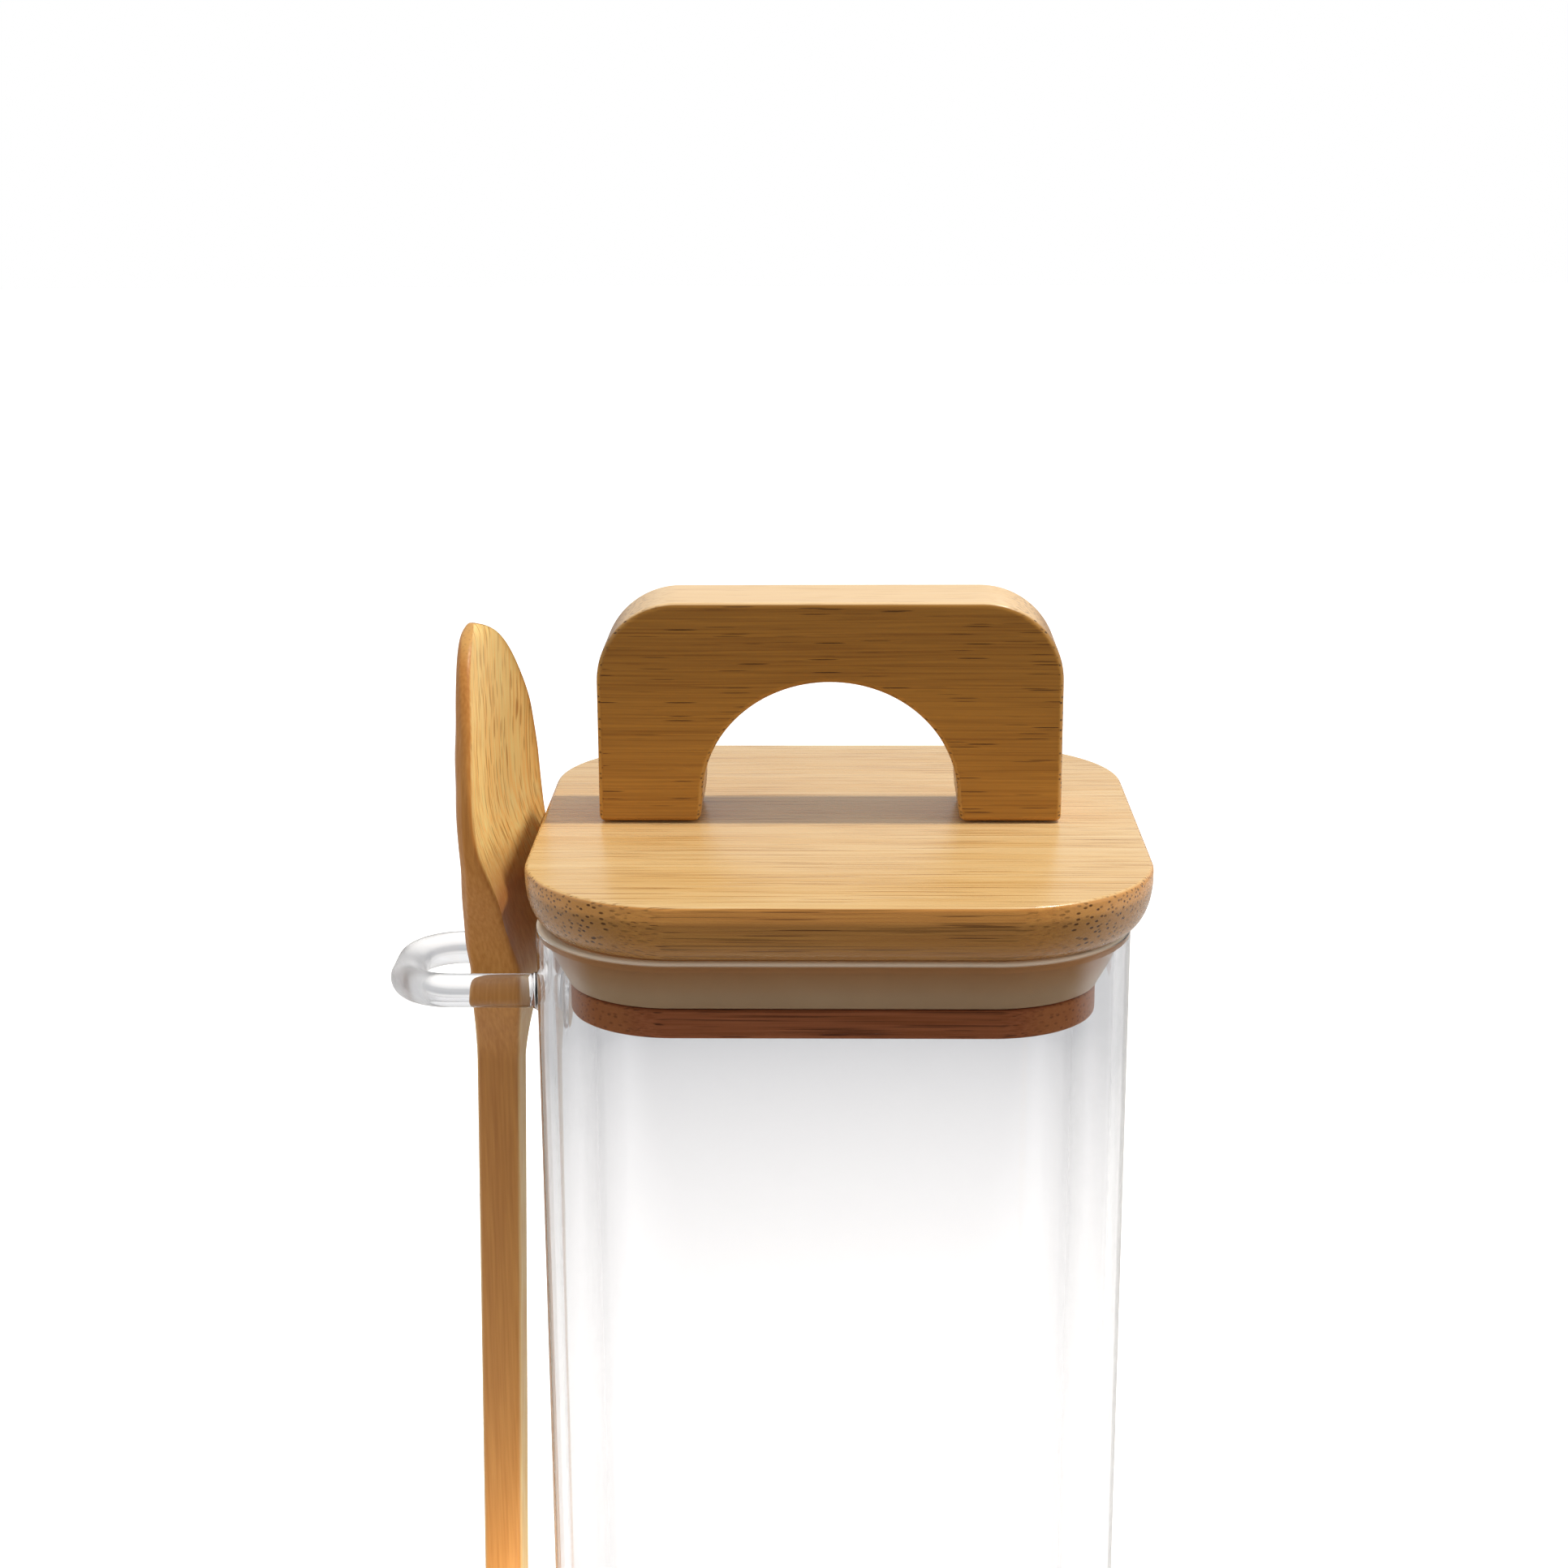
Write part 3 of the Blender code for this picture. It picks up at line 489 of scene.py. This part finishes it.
lidLook = {
    **plainGrain,
    "light": ("#F2D5A0", "#E6A658"), "dark": ("#D8A75E", "#C07A36"),
    # painted shade: the board's sides are drawn darker below their upright top band
    "paintedShadeFrom": 208.1, "paintedShadeTo": 207.1, "paintedShadeDarkest": 0.62,
    "hairColours": ("#AE7A3C", "#9A6A34"), "hairShare": 0.75,
    "fleck": (26, 0.5, 0.5), "fleckColours": ("#9C672E", "#7A4C20"), "fleckRarity": -0.1,
    "poreColours": ("#5A3414", "#40220A"), "endColours": ("#DDAE70", "#D09858"),
}
handleLook = {
    **plainGrain,
    "light": ("#FADCB0", "#CA903D"), "dark": ("#E9C48C", "#9D6825"),
    # painted shade: the handle's sides are drawn darker towards the top of the arch
    "paintedShadeFrom": 214, "paintedShadeTo": 238, "paintedShadeDarkest": 0.80,
    "hairColours": ("#C8945A", "#855219"), "hairShare": 0.4,
    "fleckColours": ("#BE8F57", "#3C2008"),
    "poreColours": ("#6B4220", "#3A2110"), "endColours": ("#E0B880", "#C4924C"),
    "roughness": 0.34,
}
# the plug is drawn darker and redder than the lid board
plugLook = {
    **plainGrain,
    "light": ("#B46C48", "#B46C48"), "dark": ("#864824", "#864824"),
    "hairColours": ("#4A2412", "#4A2412"),
    "fleckColours": ("#3A1C0E", "#3A1C0E"),
    "poreColours": ("#2E160A", "#2E160A"), "poreShare": 0.5, "endColours": ("#A8683C", "#A8683C"),
    "roughness": 0.5, "mirrorShare": 0.1,
}
spoonLook = {
    **plainGrain,
    "grain": "Z", "paleAxis": "X", "paleFrom": 0.45, "paleTo": 0.85,
    # painted light and shade: the face is pale only above the lid's shadow, and the shaft's sides are drawn
    # paler
    "bowlFrom": 198, "bowlTo": 206, "shaftFrom": 185, "shaftTo": 172, "shaftMirrorShare": 1.0,
    "shaftSideFrom": 0.6, "shaftSideTo": 0.9, "shaftSidePaintedLight": 0.5,
    "light": ("#FFF0A6", "#D6944A"), "dark": ("#FFC872", "#BE7A34"),
    "strip": (900, 90.0, 90.0), "cloud": (60, 7, 7), "streak": (18, 0.5, 0.5), "streakShare": 0.7,
    "hair": (16, 0.42, 12), "hairColours": ("#BC8032", "#AC7232"), "hairShare": 0.5,
    "fleck": (6.5, 0.56, 12), "fleckRadius": 0.40, "fleckRarity": -0.6, "fleckShare": 0.80,
    "fleckColours": ("#B67628", "#8E5C24"),
    "poreColours": ("#9A6A30", "#8A5E2A"), "poreShare": 0.35,
    "acrossFrom": 0.60, "acrossTo": 0.90, "endColours": ("#EFC078", "#DCAA60"),
    "roughness": 0.42, "mirrorShare": 0.4,
}

lidBamboo = bamboo("lacqueredBambooBoard", lidLook)
handleBamboo = bamboo("lacqueredBambooHandle", handleLook)
plugBamboo = bamboo("darkRedBambooPlug", plugLook)
spoonBamboo = bamboo("oiledBambooSpoon", spoonLook)
print("bamboo ready")


# Borosilicate glass, blown in a mould and flame-worked: clear, very smooth, with the
# faint slow waves that moulding leaves, which only bend what is seen through it. Seen
# edge on it is drawn greyer, partly for the longer path through the glass and partly as
# painted shade. Its cut and ground rim scatters some light, and is drawn cream as a
# painted highlight.
glassLook = {
    "face": "#FCFCFD", "edge": "#DADADB", "edgeFrom": 0.34, "edgeTo": 0.72, "edgeBlend": 0.5,
    "ior": 1.47, "passes": "#F6F8F8",
    "waveLength": 22.2222 * mm, "waveShare": 0.06, "waveDepth": 0.4 * mm,
    # the rim's cream is a painted highlight in the lid's colour
    "rim": "#FFF2DC", "rimFrom": 199.45, "rimTo": 199.75, "rimShare": 0.75,
    "rodFrom": -68.0, "rodTo": -72.0, "rodRoughness": 0.25,
}


def borosilicateGlass():
    material, tree = newMaterial("mouldBlownGlass")
    spot = addNode(tree, "ShaderNodeTexCoord").outputs["Object"]
    waves = addNode(tree, "ShaderNodeTexNoise", {
        "Vector": spot, "Scale": 1 / glassLook["waveLength"], "Detail": softDetail}).outputs["Fac"]
    bump = addNode(tree, "ShaderNodeBump", {
        "Height": waves, "Strength": glassLook["waveShare"], "Distance": glassLook["waveDepth"]}).outputs[0]
    # painted shade, partly real: the glass is drawn greyer where it is seen edge on, as for a longer path
    # through it
    facing = addNode(tree, "ShaderNodeLayerWeight", {"Blend": glassLook["edgeBlend"]}).outputs["Facing"]
    edge = addNode(tree, "ShaderNodeMapRange", {
        "Value": facing, "From Min": glassLook["edgeFrom"],
        "From Max": glassLook["edgeTo"]}).outputs["Result"]
    tintAndEdgeShade = addNode(tree, "ShaderNodeMix", {
        "Factor": edge, colourA: toLinear(glassLook["face"]), colourB: toLinear(glassLook["edge"])},
        data_type="RGBA").outputs[mixedColour]
    # the rod's outer bend is a little rough, and the top of the rim is ground, drawn matte cream as a painted
    # highlight in the lid's colour
    along = addNode(tree, "ShaderNodeSeparateXYZ", {"Vector": spot}).outputs
    rough, rim = [addNode(tree, "ShaderNodeMapRange", {
        "Value": along[axis], "From Min": glassLook[part + "From"] * mm,
        "From Max": glassLook[part + "To"] * mm, "To Max": glassLook[part + amount]}).outputs["Result"]
        for axis, part, amount in (("X", "rod", "Roughness"), ("Z", "rim", "Share"))]
    glass = addNode(tree, "ShaderNodeBsdfPrincipled", {
        "Base Color": tintAndEdgeShade, "Roughness": rough, "IOR": glassLook["ior"],
        "Transmission Weight": 1.0, "Normal": bump}).outputs[0]
    groundRimAndPaintedGleam = addNode(tree, "ShaderNodeBsdfDiffuse", {"Color": toLinear(glassLook["rim"])}).outputs[0]
    glass = addNode(tree, "ShaderNodeMixShader", {0: rim, 1: glass, 2: groundRimAndPaintedGleam}).outputs[0]
    # lamps and soft light reach what is inside
    clear = addNode(tree, "ShaderNodeBsdfTransparent", {"Color": toLinear(glassLook["passes"])}).outputs[0]
    path = addNode(tree, "ShaderNodeLightPath").outputs
    lightRay = addNode(tree, "ShaderNodeMath", {
        0: path["Is Shadow Ray"], 1: path["Is Diffuse Ray"]}, operation="MAXIMUM").outputs[0]
    both = addNode(tree, "ShaderNodeMixShader", {0: lightRay, 1: glass, 2: clear}).outputs[0]
    addNode(tree, "ShaderNodeOutputMaterial", {"Surface": both})
    return material


# Platinum-cured silicone, moulded in a satin tool: milky, lets some light through. It is
# drawn in browns, with painted shade from the lid above it and the painted colour of the
# wood behind it; the lip, deepest in that shade, is darker than the thin skirt. The satin
# grain is too fine to show, so it is drawn about half a millimetre wide.
siliconeLook = {
    "lip": ("#CF9460", "#C48854"), "skirt": ("#D9B48C", "#CEA67E"), "skirtFrom": 198.5, "skirtTo": 193.0,
    "satinGrain": 0.5556 * mm, "satinShare": 0.10, "satinDepth": 0.05 * mm, "cloud": 16.6667 * mm,
    "roughness": (0.34, 0.46), "passes": 0.35, "ior": 1.41, "mirrorShare": 0.2,
}


def milkySilicone():
    material, tree = newMaterial("mouldedSilicone")
    spot = addNode(tree, "ShaderNodeTexCoord").outputs["Object"]
    satin, cloud = [addNode(tree, "ShaderNodeTexNoise", {
        "Vector": spot, "Scale": 1 / siliconeLook[size], "Detail": someDetail}).outputs["Fac"]
        for size in ("satinGrain", "cloud")]
    lip, skirt = [addNode(tree, "ShaderNodeMix", {
        "Factor": cloud, colourA: toLinear(siliconeLook[zone][0]), colourB: toLinear(siliconeLook[zone][1])},
        data_type="RGBA").outputs[mixedColour] for zone in ("lip", "skirt")]
    height = addNode(tree, "ShaderNodeSeparateXYZ", {"Vector": spot}).outputs["Z"]
    down = addNode(tree, "ShaderNodeMapRange", {
        "Value": height, "From Min": siliconeLook["skirtFrom"] * mm,
        "From Max": siliconeLook["skirtTo"] * mm}).outputs["Result"]
    # painted shade: the darker lip colour at the top turns into the paler skirt lower down
    shadedMilk = addNode(tree, "ShaderNodeMix", {
        "Factor": down, colourA: lip, colourB: skirt}, data_type="RGBA").outputs[mixedColour]
    rough = addNode(tree, "ShaderNodeMapRange", {
        "Value": satin, "To Min": siliconeLook["roughness"][0],
        "To Max": siliconeLook["roughness"][1]}).outputs["Result"]
    bump = addNode(tree, "ShaderNodeBump", {
        "Height": satin, "Strength": siliconeLook["satinShare"],
        "Distance": siliconeLook["satinDepth"]}).outputs[0]
    shader = addNode(tree, "ShaderNodeBsdfPrincipled", {
        "Base Color": shadedMilk, "Roughness": rough, "IOR": siliconeLook["ior"],
        "Specular IOR Level": siliconeLook["mirrorShare"],
        "Transmission Weight": siliconeLook["passes"], "Normal": bump}).outputs[0]
    addNode(tree, "ShaderNodeOutputMaterial", {"Surface": shader})
    return material


# Carbon steel, cold-headed and zinc plated: grey-white with a faint mottled sheen. The
# mottle is drawn about a millimetre wide, since real zinc crystals are too fine to show.
steelLook = {"pale": "#D2D0C8", "dull": "#B4B3AE", "mottle": 1.1111 * mm, "roughness": (0.22, 0.42)}


def zincPlatedSteel():
    material, tree = newMaterial("zincPlatedSteel")
    spot = addNode(tree, "ShaderNodeTexCoord").outputs["Object"]
    mottle = addNode(tree, "ShaderNodeTexNoise", {
        "Vector": spot, "Scale": 1 / steelLook["mottle"], "Detail": fineDetail}).outputs["Fac"]
    plating = addNode(tree, "ShaderNodeMix", {
        "Factor": mottle, colourA: toLinear(steelLook["pale"]), colourB: toLinear(steelLook["dull"])},
        data_type="RGBA").outputs[mixedColour]
    rough = addNode(tree, "ShaderNodeMapRange", {
        "Value": mottle, "To Min": steelLook["roughness"][0],
        "To Max": steelLook["roughness"][1]}).outputs["Result"]
    shader = addNode(tree, "ShaderNodeBsdfPrincipled", {
        "Base Color": plating, "Metallic": 1.0, "Roughness": rough}).outputs[0]
    addNode(tree, "ShaderNodeOutputMaterial", {"Surface": shader})
    return material


clearGlass = borosilicateGlass()
silicone = milkySilicone()
steel = zincPlatedSteel()
print("glass, silicone and steel ready")


# Glass jar, with the rod loop welded to its left wall
jar = {
    "corner": 24.0 * mm,
    "wall": 2.5 * mm,
    "base": 6.0 * mm,
    "footRound": 5.0 * mm,
    "footSteps": 10,
    "heelRound": 4.0 * mm,
    "heelSteps": 8,
    "rimRound": 0.9 * mm,
    "rimSteps": 5,
    "rodRadius": 3.0 * mm,
    "rodSides": 32,
    "rodBend": 8.5 * mm,
    "bendSteps": 20,
    "armOut": 11.9 * mm,
    "weldReach": 3.2 * mm,
    "weldSwell": 5.0 * mm,
    "weldSteps": 16,
    "bigFaceWeight": 90,        # keeps the flat walls flat beside the rounded corners
}


def jarSection(half, height):
    wall, foot, heel, rim = jar["wall"], jar["footRound"], jar["heelRound"], jar["rimRound"]
    bore = half - wall
    section = arc((half - foot, foot), (foot, foot), -90, 0, jar["footSteps"])
    section += arc((half - rim, height - rim), (rim, rim), 0, 90, jar["rimSteps"])
    section += arc((bore + rim, height - rim), (rim, rim), 90, 180, jar["rimSteps"])
    section += arc((bore - heel, jar["base"] + heel), (heel, heel), 0, -90, jar["heelSteps"])
    return section


def makeLoop(low, high, wallX):
    # the rod starts within the wall and swells out to meet it, as molten glass does
    height = (low.z + high.z) / 2
    radius, bend, armY = jar["rodRadius"], jar["rodBend"], jar["armOut"]
    stops = [(wallX + jar["wall"] / 3, -armY, radius + jar["weldSwell"])]
    for step in range(jar["weldSteps"] + 1):
        share = step / jar["weldSteps"]
        fillet = jar["weldSwell"] * (1 - math.sqrt(1 - (1 - share) ** 2))
        stops.append((wallX - jar["weldReach"] * share, -armY, radius + fillet))
    bendMiddle = (low.x + radius + bend, bend - armY)
    stops += [(x, y, radius) for x, y in arc(bendMiddle, (bend, bend), -90, -180, jar["bendSteps"])]
    stops += [(x, -y, r) for x, y, r in reversed(stops)]
    rings = []
    for i, (x, y, r) in enumerate(stops):
        before = Vector(stops[max(i - 1, 0)][:2])
        after = Vector(stops[min(i + 1, len(stops) - 1)][:2])
        ahead = (after - before).normalized()
        aside = Vector((ahead.y, -ahead.x, 0))
        rings.append([Vector((x, y, height)) + r * (aside * math.cos(t) + Vector((0, 0, math.sin(t))))
                      for t in around(jar["rodSides"])])
    work = bmesh.new()
    bridgeRings(work, rings)
    return finishMesh("loopTool", work, clearGlass)


low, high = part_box("jar_body")
jarHalf = (high.x - low.x) / 2
glassJar = squareSolid("glassJar", (low + high) / 2, jarSection(jarHalf, high.z),
                       jarHalf - jar["corner"], clearGlass)
loop = makeLoop(*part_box("spoon_loop"), low.x)
weld = glassJar.modifiers.new("weld", "BOOLEAN")
weld.operation = "UNION"
weld.object = loop
even = glassJar.modifiers.new("even", "WEIGHTED_NORMAL")
even.weight = jar["bigFaceWeight"]
applyModifiers(glassJar)
bpy.data.objects.remove(loop)
glassJar.data.shade_smooth()
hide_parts("jar_body", "spoon_loop")
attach(glassJar, "jar")
print("jar blown:", len(glassJar.data.vertices), "points")


# Lid board: upright band at the top, edge curved in underneath down to its flat side
lid = {
    "corner": 26.5 * mm, "band": 2.0 * mm, "undercut": 4.2 * mm, "undercutStart": -84,
    "undercutSteps": 18, "ease": 0.8 * mm, "easeSteps": 5,
}

low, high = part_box("lid_board")
half = (high.x - low.x) / 2
ease, undercut = lid["ease"], lid["undercut"]
curve = high.z - low.z - lid["band"]
section = arc((half - undercut, low.z + curve), (undercut, curve), lid["undercutStart"], 0,
              lid["undercutSteps"])
section += arc((half - ease, high.z - ease), (ease, ease), 0, 90, lid["easeSteps"])
section[0] = (section[0][0], low.z)
lidBoard = squareSolid("lidBoard", (low + high) / 2, section, half - lid["corner"], lidBamboo)
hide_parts("lid_board")
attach(lidBoard, "lid")


# Plug board: flange below, core inside the seal, countersunk for the screws
plug = {
    "flange": 5.0 * mm, "coreInset": 3.8 * mm, "ease": 0.7 * mm, "easeSteps": 4,
    "screwSlack": 0.4 * mm, "drillPast": 1.0 * mm, "drillSides": 40,
}

low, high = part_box("plug_board")
half = (high.x - low.x) / 2
ease = plug["ease"]
top = low.z + plug["flange"]
section = arc((half - ease, low.z + ease), (ease, ease), -90, 0, plug["easeSteps"])
section += arc((half - ease, top - ease), (ease, ease), 0, 90, plug["easeSteps"])
section += [(half - plug["coreInset"], top), (half - plug["coreInset"], high.z)]
plugBoard = squareSolid("plugBoard", (low + high) / 2, section, jarHalf - jar["corner"], plugBamboo)
for sideName in ("left", "right"):
    screwLow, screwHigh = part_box(f"handle_screw_{sideName}")
    head = (screwHigh.x - screwLow.x) / 2 + plug["screwSlack"]
    shank = head / 2 + plug["screwSlack"]
    middle = (screwLow + screwHigh) / 2
    stops = ((head, low.z - plug["drillPast"]), (head, screwLow.z + ease),
             (shank, screwLow.z + ease + head - shank), (shank, high.z + plug["drillPast"]))
    work = bmesh.new()
    bridgeRings(work, [[Vector((middle.x + radius * math.cos(t), middle.y + radius * math.sin(t), z))
                        for t in around(plug["drillSides"])] for radius, z in stops])
    drill = finishMesh("drill", work, plugBamboo)
    hole = plugBoard.modifiers.new("hole", "BOOLEAN")
    hole.operation = "DIFFERENCE"
    hole.object = drill
    applyModifiers(plugBoard)
    bpy.data.objects.remove(drill)
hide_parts("plug_board")
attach(plugBoard, "lid")


# Seal: an upper lip squeezed against the bore, then a skirt that tapers in
seal = {
    "lipTall": 1.9 * mm, "lipRound": 0.6 * mm, "roundSteps": 6, "squeeze": 0.02 * mm, "gap": 0.3 * mm,
    "draft": 2.8 * mm, "draftPower": 1.35, "skirtSteps": 24, "hemSteps": 4,
}

low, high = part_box("seal_ring")
bore = jarHalf - jar["wall"] + seal["squeeze"]
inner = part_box("plug_board")[1].x - plug["coreInset"] + seal["gap"]
soft = seal["lipRound"]
lipLow = high.z - seal["lipTall"]
section = [(inner, high.z)]
section += arc((bore - soft, high.z - soft), (soft, soft), 90, 0, seal["roundSteps"])
for step in range(seal["skirtSteps"] + 1):
    share = step / seal["skirtSteps"]
    section.append((bore - seal["draft"] * share ** seal["draftPower"],
                    lipLow + (low.z + soft - lipLow) * share))
section += arc((bore - seal["draft"] - soft, low.z + soft), (soft, soft), 0, -90, seal["hemSteps"])[1:]
section += [(inner, low.z)]
sealRing = squareSolid("sealRing", (low + high) / 2, section, jarHalf - jar["corner"], silicone, wrap=True)
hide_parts("seal_ring")
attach(sealRing, "lid")
print("lid, plug and seal made")


# Handle: one board cut to an arch whose feet flare a little, edges eased
handle = {
    "corner": 14.0 * mm, "cornerSteps": 24, "leg": 18.2 * mm, "bar": 14.1 * mm, "archSteps": 64,
    "footFlare": 0.6 * mm, "flareHeight": 4.5 * mm, "ease": 1.0 * mm, "easeSteps": 4, "easeFromAngle": 40,
}

low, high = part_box("lid_handle")
middle = (low + high) / 2
half, tall = (high.x - low.x) / 2, high.z - low.z
archHalf = half - handle["leg"]
footHalf = archHalf + handle["footFlare"]
flareHalf = archHalf + handle["footFlare"] / 3      # halfway up the flare
straight = handle["flareHeight"]
corner = handle["corner"]
inner = arc((0, straight), (archHalf, tall - handle["bar"] - straight), 180, 0, handle["archSteps"])
outer = arc((half - corner, tall - corner), (corner, corner), 0, 90, handle["cornerSteps"])
outer += arc((corner - half, tall - corner), (corner, corner), 90, 180, handle["cornerSteps"])
outline = [(-footHalf, 0), (-flareHalf, straight / 2)] + inner + [(flareHalf, straight / 2), (footHalf, 0)]
outline += [(half, 0)] + outer + [(-half, 0)]
work = bmesh.new()
front = work.faces.new([work.verts.new((middle.x + x, low.y, low.z + z)) for x, z in outline])
grown = bmesh.ops.extrude_face_region(work, geom=[front])["geom"]
moved = [part for part in grown if isinstance(part, bmesh.types.BMVert)]
bmesh.ops.translate(work, verts=moved, vec=(0, high.y - low.y, 0))
archHandle = finishMesh("archHandle", work, handleBamboo)
eased = archHandle.modifiers.new("eased", "BEVEL")
eased.width = handle["ease"]
eased.segments = handle["easeSteps"]
eased.limit_method = "ANGLE"
eased.angle_limit = math.radians(handle["easeFromAngle"])
archHandle.modifiers.new("even", "WEIGHTED_NORMAL")
applyModifiers(archHandle)
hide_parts("lid_handle")
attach(archHandle, "lid")

for sideName in ("left", "right"):
    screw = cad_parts[f"handle_screw_{sideName}"]
    screw.data.materials.clear()
    screw.data.materials.append(steel)
print("handle and screws made")


# Spoon: flat shaft, stout neck, long shallow bowl
spoon = {
    "turn": 11.5, "lean": 1.35, "endHeight": 32.5 * mm, "loopHeight": 182.0 * mm,
    "bowlWidth": 38.0 * mm, "bowlRise": 64.1 * mm, "bowlEdge": 2.4 * mm, "scoop": 4.0 * mm,
    "belly": 5.0 * mm, "faceFall": 7.5 * mm, "neckThick": 9.7 * mm, "shaftThick": 8.0 * mm,
    "shaftEndThick": 7.2 * mm, "shaftWidth": 5.4 * mm, "shaftDrop": 16.0 * mm, "swellPower": 1.45,
    "edgeRound": 1.0 * mm, "edgeLargest": 0.4, "endRound": 2.2 * mm, "endTurn": 60,
    "tipPower": 60, "tipLeast": 0.08,
    "edgeSteps": 4, "endSteps": 8, "shaftSteps": 16, "bowlSteps": 80, "acrossSteps": 20,
}
# height, half width, thickness from neck to bowl, hollow, belly, line of the face
spoonShares = (
    (0.000, 0.400, 0.01, 0.00, 0.10, 0.295),
    (0.047, 0.447, 0.06, 0.00, 0.22, 0.318),
    (0.124, 0.530, 0.18, 0.12, 0.42, 0.194),
    (0.202, 0.647, 0.35, 0.38, 0.60, 0.105),
    (0.280, 0.785, 0.48, 0.64, 0.78, 0.085),
    (0.357, 0.905, 0.70, 0.83, 0.87, -0.035),
    (0.435, 0.980, 0.89, 0.95, 0.95, -0.200),
    (0.512, 1.000, 0.97, 1.00, 1.00, -0.290),
    (0.590, 0.978, 1.00, 1.00, 0.98, -0.338),
    (0.668, 0.930, 1.00, 0.95, 0.94, -0.392),
    (0.745, 0.856, 1.00, 0.85, 0.84, -0.445),
    (0.823, 0.743, 1.00, 0.70, 0.68, -0.560),
    (0.900, 0.586, 1.00, 0.47, 0.46, -0.700),
    (0.955, 0.410, 1.00, 0.25, 0.25, -0.830),
    (0.985, 0.250, 1.00, 0.12, 0.12, -0.940),
    (1.000, 0.100, 1.00, 0.05, 0.05, -1.000),
)
halfWidthShare, thickShare, hollowShare, bellyShare, faceShare = range(1, 6)


def spoonValue(height, column):
    # a smooth curve through the rows of one column
    rows = spoonShares
    last = len(rows) - 1
    k = max(i for i in range(last) if rows[i][0] <= height or i == 0)

    def slope(i):
        before, after = rows[max(i - 1, 0)], rows[min(i + 1, last)]
        return (after[column] - before[column]) / (after[0] - before[0])

    span = rows[k + 1][0] - rows[k][0]
    t = min(max((height - rows[k][0]) / span, 0), 1)
    rise = 3 * t ** 2 - 2 * t ** 3
    return (rows[k][column] * (1 - rise) + rows[k + 1][column] * rise
            + slope(k) * span * (t ** 3 - 2 * t ** 2 + t) + slope(k + 1) * span * (t ** 3 - t ** 2))


def spoonSlice(halfWidth, thick, scoop, belly, face, z):
    # from the face's left edge across, round the right edge, and back behind
    edge = min(spoon["edgeRound"], thick * spoon["edgeLargest"], halfWidth * spoon["edgeLargest"])
    flat = halfWidth - edge
    back = face - thick
    across = [flat * (2 * i / spoon["acrossSteps"] - 1) for i in range(spoon["acrossSteps"] + 1)]

    def hollow(y):
        return 1 - (y / halfWidth) ** 2

    faceSide = [(face - scoop * hollow(y), y) for y in across]
    backSide = [(back - belly * hollow(y), y) for y in reversed(across)]
    turns = [math.radians(90 * i / spoon["edgeSteps"]) for i in range(1, spoon["edgeSteps"])]
    rightFace = [(face - edge + edge * math.cos(t), flat + edge * math.sin(t)) for t in turns]
    rightBack = [(back + edge - edge * math.cos(t), flat + edge * math.sin(t)) for t in reversed(turns)]
    right = rightFace + [(face - edge, halfWidth), (back + edge, halfWidth)] + rightBack
    left = [(x, -y) for x, y in reversed(right)]
    return [Vector((x, y, z)) for x, y in faceSide + right + backSide + left]


def bowlThick(height):
    return spoon["neckThick"] + (spoon["bowlEdge"] - spoon["neckThick"]) * spoonValue(height, thickShare)


def spoonRings():
    # the rounded lower end, then the shaft as it swells into the neck, then the bowl
    low = spoon["endHeight"] - spoon["loopHeight"]
    half, front, end = spoon["shaftWidth"] / 2, spoon["shaftThick"] / 2, spoon["endRound"]
    rings = []
    for x, z in arc((half - end, low + end), (end, end), -spoon["endTurn"], 0, spoon["endSteps"]):
        thick = spoon["shaftEndThick"] - 2 * (half - x)
        rings.append(spoonSlice(x, thick, 0, 0, thick / 2, z))
    neckHalf = spoonValue(0, halfWidthShare) * spoon["bowlWidth"] / 2
    for step in range(spoon["shaftSteps"]):
        share = step / spoon["shaftSteps"]
        swell = share ** spoon["swellPower"]
        rings.append(spoonSlice(
            half + (neckHalf - half) * swell,
            spoon["shaftThick"] + (bowlThick(0) - spoon["shaftThick"]) * swell,
            0, spoon["belly"] * spoonValue(0, bellyShare) * swell,
            front + spoon["faceFall"] * spoonValue(0, faceShare) * swell, -spoon["shaftDrop"] * (1 - share)))
    for step in range(spoon["bowlSteps"] + 1):
        share = math.sin(step / spoon["bowlSteps"] * math.pi / 2)
        tip = max(math.sqrt(1 - share ** spoon["tipPower"]), spoon["tipLeast"])     # rounds the very end
        thick = bowlThick(share)
        rings.append(spoonSlice(
            spoonValue(share, halfWidthShare) * spoon["bowlWidth"] / 2 * tip, thick * tip,
            spoon["scoop"] * spoonValue(share, hollowShare), spoon["belly"] * spoonValue(share, bellyShare),
            front + spoon["faceFall"] * spoonValue(share, faceShare) - thick * (1 - tip) / 2,
            share * spoon["bowlRise"]))
    place = Matrix.Rotation(math.radians(spoon["lean"]), 3, "Y")
    place = place @ Matrix.Rotation(-math.radians(spoon["turn"]), 3, "Z")
    return [[place @ point for point in ring] for ring in rings]


rings = spoonRings()
low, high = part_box("spoon")
madeLow, madeHigh = [Vector([pick(p[k] for ring in rings for p in ring) for k in range(3)])
                     for pick in (min, max)]
shift = (low + high - madeLow - madeHigh) / 2
shift.z = low.z - madeLow.z
work = bmesh.new()
bridgeRings(work, [[point + shift for point in ring] for ring in rings])
woodSpoon = finishMesh("woodSpoon", work, spoonBamboo, sharpAngle=50)
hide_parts("spoon")
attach(woodSpoon, "spoon")
print("spoon carved")
